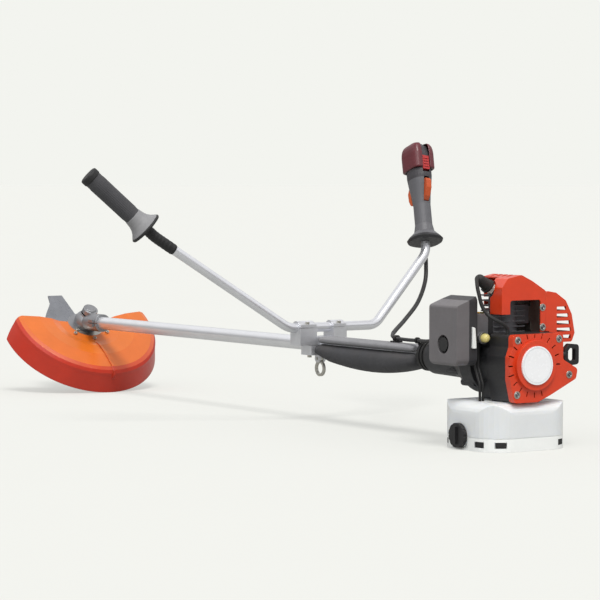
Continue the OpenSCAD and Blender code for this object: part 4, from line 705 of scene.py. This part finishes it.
def plate(half, thick, power, bulge):
    """A rounded plate in X and Y: superellipse rings from its rim at Z 0 up over its crowned face."""
    rise = np.array([0, 0.55, 0.8, 0.95, 1, 1, 1, 1])
    shrink = np.array([1, 1, 0.985, 0.96, 0.92, 0.7, 0.4, 0.02])
    turn = np.linspace(0, 2 * np.pi, 96, endpoint=False)
    a = half[0] * signed_power(np.cos(turn), 2 / power)
    b = half[1] * signed_power(np.sin(turn), 2 / power)
    up = thick * rise + bulge * (1 - shrink**2)
    flat_a, flat_b = shrink[:, None] * a, shrink[:, None] * b
    return np.stack([flat_a, flat_b, np.broadcast_to(up[:, None], flat_a.shape)], -1)


STAND_HALF = (0.084, 0.094)
STAND_CORNER = 0.050
SLOT_SHADE_HALF = (0.0098, 0.0052)
SLOT_SHADE_SUNK = 0.0026      # how far a shade plate's back lies inside the stand's side
SLOT_SHADE_Z = 0.0125
SLOT_SHADE_TURNS = (-125, -65, -42, 42, 65, 125)


def stand_slot_shade(turn):
    """A black plate sunk in one of the stand's slots, painted shade that makes the slot look dark: a rounded plate on
    the corner's arc, in the given direction from the stand's centre and facing out."""
    a = np.radians(turn)
    way = np.array([np.cos(a), np.sin(a)])
    middle = np.sign(way) * (np.array(STAND_HALF) - STAND_CORNER)
    along = way @ middle
    reach = along + np.sqrt(along**2 - middle @ middle + (STAND_CORNER - SLOT_SHADE_SUNK) ** 2)
    seat = way * reach
    out = (seat - middle) / np.linalg.norm(seat - middle)
    side = np.array([-out[1], out[0]])
    grid = plate(SLOT_SHADE_HALF, thick=0.0014, power=7, bulge=0.0004)
    flat = seat + grid[..., 2:3] * out + grid[..., 0:1] * side
    return np.concatenate([flat, SLOT_SHADE_Z + grid[..., 1:2]], -1)


# Painted shade: a black plate sunk in each of the stand's slots makes the slot look dark.
for number, turn in enumerate(SLOT_SHADE_TURNS):
    skin(f"stand_slot_shade_{number}", stand_slot_shade(turn), FINISHES["black_rubber"], "main")

screw_profile = np.array([[5.0, 0.0], [4.9, 0.4], [4.4, 1.6], [3.6, 2.2], [2.0, 0.8], [1.7, 1.0], [1.6, 2.2]]) * MM
washer_profile = np.array([[6.8, 0], [6.8, 0.9], [6.4, 1.1], [4.6, 1.1]]) * MM


def toward_back(grid, at):
    """A turned grid with its Z brought onto +X and placed."""
    return np.stack([grid[..., 2], grid[..., 0], grid[..., 1]], -1) + np.array(at)


STARTER_FACE = 0.086
COVER_FACE = 0.040
SCREWS_AT = [(STARTER_FACE, -0.0385, 0.2010), (STARTER_FACE, 0.0560, 0.2010), (STARTER_FACE, -0.0400, 0.1030),
             (STARTER_FACE, 0.0800, 0.1350), (COVER_FACE, 0.0545, 0.2200), (COVER_FACE, 0.0545, 0.2560)]
for number, at in enumerate(SCREWS_AT):
    screw = toward_back(turned_grid(screw_profile, 30, 48), at)
    washer = toward_back(turned_grid(washer_profile, 14, 48), at)
    skin(f"cover_screw_{number}", screw, FINISHES["dark_steel"], "main")
    skin(f"cover_washer_{number}", washer, FINISHES["zinc_steel"], "main", closed=(False, False))

# ---------- throttle hose ----------

HOSE_ROUTE = np.array([
    [-685.8, 318.4, 361.7], [-679.7, 315.9, 344.9], [-667, 310, 312], [-651, 296, 272], [-611, 248, 232],
    [-545, 168, 202], [-480, 100, 188], [-410, 40, 182], [-346, 4, 181], [-290, -8, 181], [-243, -21, 183],
    [-180, -40, 186], [-124, -56, 197], [-84, -61.5, 214], [-58, -61.5, 224], [-42, -61.5, 226],
    [-28, -61.5, 226]]) * MM
HOSE_R = 0.0035
RIPPLE_PITCH = 0.0024


def hose_grid():
    """The throttle hose along its route: a round jacket whose radius ripples, as a wound conduit's does. It is stouter
    from the handle to the pad, where a second sleeve covers it."""
    path = curve_through(HOSE_ROUTE, 70)
    run = np.concatenate([[0], np.cumsum(np.linalg.norm(np.diff(path, axis=0), axis=1))])
    ripple = 0.5 + 0.5 * np.cos(2 * np.pi * run / RIPPLE_PITCH)
    stout = 0.0009 * np.clip((run - 0.012) / 0.006, 0, 1) * np.clip((0.44 - run) / 0.01, 0, 1)
    return tube_grid(path, HOSE_R + stout - 0.00022 * ripple, (0.3, 0.35, 1.0), 24)


hose = skin("throttle_hose_jacket", hose_grid(), FINISHES["hose_black"], None)
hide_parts("throttle_hose")
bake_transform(hose)

# ---------- starter rope ----------

ROPE_X = 0.067
ROPE_Z = AXIS_H + 0.015
ROPE_Y = (0.030, 0.081)
ROPE_R = 0.00212
ROPE_TURNS = 5


def rope_grid():
    """The starter rope from inside the housing into the handle's stem: a tube with three twisted strands."""
    along = np.linspace(0, 1, 241)[:, None]
    turn = np.linspace(0, 2 * np.pi, 36, endpoint=False)[None, :]
    strand = np.abs(np.cos(1.5 * (turn - 2 * np.pi * ROPE_TURNS * along)))
    radius = ROPE_R - 0.00022 * (1 - strand) ** 2
    y = ROPE_Y[0] + (ROPE_Y[1] - ROPE_Y[0]) * along + 0 * turn
    return np.stack([ROPE_X + radius * np.cos(turn), y, ROPE_Z - radius * np.sin(turn)], -1)


rope = skin("starter_rope", rope_grid(), FINISHES["black_rubber"], None)
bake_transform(rope)

# ---------- floor and light ----------

BACKGROUND = rgb(243, 244, 239)
FLOOR_HALF = 60.0
FLOOR_TINT = 0.30
FLOOR_GLOW = 0.52      # what the camera sees of the floor's own light
FLOOR_BOUNCE = 0.16    # what the object gets of it


def floor():
    """A wide pale sheet on the ground. Part of its brightness is its own, so that shadows on it stay faint and it meets
    the backdrop without a line."""
    corners = [(-FLOOR_HALF, -FLOOR_HALF, 0), (FLOOR_HALF, -FLOOR_HALF, 0), (FLOOR_HALF, FLOOR_HALF, 0),
               (-FLOOR_HALF, FLOOR_HALF, 0)]
    mesh = bpy.data.meshes.new("floor")
    mesh.from_pydata(corners, [], [(0, 1, 2, 3)])
    sheet = bpy.data.objects.new("floor", mesh)
    bpy.context.scene.collection.objects.link(sheet)
    material = bpy.data.materials.new("floor_white")
    material.use_nodes = True
    tree = material.node_tree
    shader = tree.nodes["Principled BSDF"]
    place = node(tree, "TexCoord").outputs["Object"]
    mottle = node(tree, "TexNoise", None, Vector=place, Scale=2.0, Detail=4.0).outputs[0]
    own = FLOOR_TINT * 0.995, FLOOR_TINT * 1.0, FLOOR_TINT * 0.955
    shade = mix(tree, remap(tree, mottle, 0.3, 0.7), (*(c * 0.99 for c in own), 1.0), (*own, 1.0))
    link(tree, shade, shader.inputs["Base Color"])
    shader.inputs["Roughness"].default_value = 1.0
    shader.inputs["Specular IOR Level"].default_value = 0.0
    shader.inputs["Emission Color"].default_value = BACKGROUND
    seen = node(tree, "LightPath").outputs["Is Camera Ray"]
    link(tree, math_node(tree, "MULTIPLY_ADD", seen, FLOOR_GLOW - FLOOR_BOUNCE, FLOOR_BOUNCE),
         shader.inputs["Emission Strength"])
    dress(sheet, material)


def sun(name, toward, strength, spread, colour=(1.0, 1.0, 1.0)):
    """A wide sun that shines along a direction; spread is its width in degrees, and sets how soft its shadows are."""
    data = bpy.data.lights.new(name, "SUN")
    data.energy = strength
    data.angle = np.radians(spread)
    data.color = colour
    lit = bpy.data.objects.new(name, data)
    bpy.context.scene.collection.objects.link(lit)
    lit.rotation_euler = Vector(toward).to_track_quat("-Z", "Y").to_euler()


def world():
    """A studio: a plain pale backdrop for the camera, and for the object a grey room with a bright ceiling."""
    made = bpy.data.worlds.new("surround")
    made.use_nodes = True
    tree = made.node_tree
    shader = tree.nodes["Background"]
    up = node(tree, "SeparateXYZ", None, Vector=node(tree, "TexCoord").outputs["Generated"]).outputs[2]
    room = node(tree, "ValToRGB", None, Fac=remap(tree, up, -0.1, 1.0))
    ramp = room.color_ramp
    ramp.elements[0].position, ramp.elements[0].color = 0.0, (0.26, 0.26, 0.27, 1)
    ramp.elements[1].position, ramp.elements[1].color = 1.0, (0.85, 0.86, 0.88, 1)
    for at, level in ((0.25, 0.30), (0.45, 0.85), (0.62, 1.15), (0.8, 0.7)):
        ramp.elements.new(at).color = (level, level, level * 1.01, 1)
    seen = node(tree, "LightPath").outputs["Is Camera Ray"]
    link(tree, mix(tree, seen, room.outputs[0], BACKGROUND), shader.inputs[0])
    shader.inputs[1].default_value = 1.0
    bpy.context.scene.world = made


floor()
world()
sun("key", (-0.50, 0.20, -0.90), 2.2, 22, (1.0, 0.985, 0.96))
sun("side", (-0.35, 0.75, -0.45), 0.35, 40, (0.96, 0.98, 1.0))
bpy.context.scene.view_settings.view_transform = "Standard"
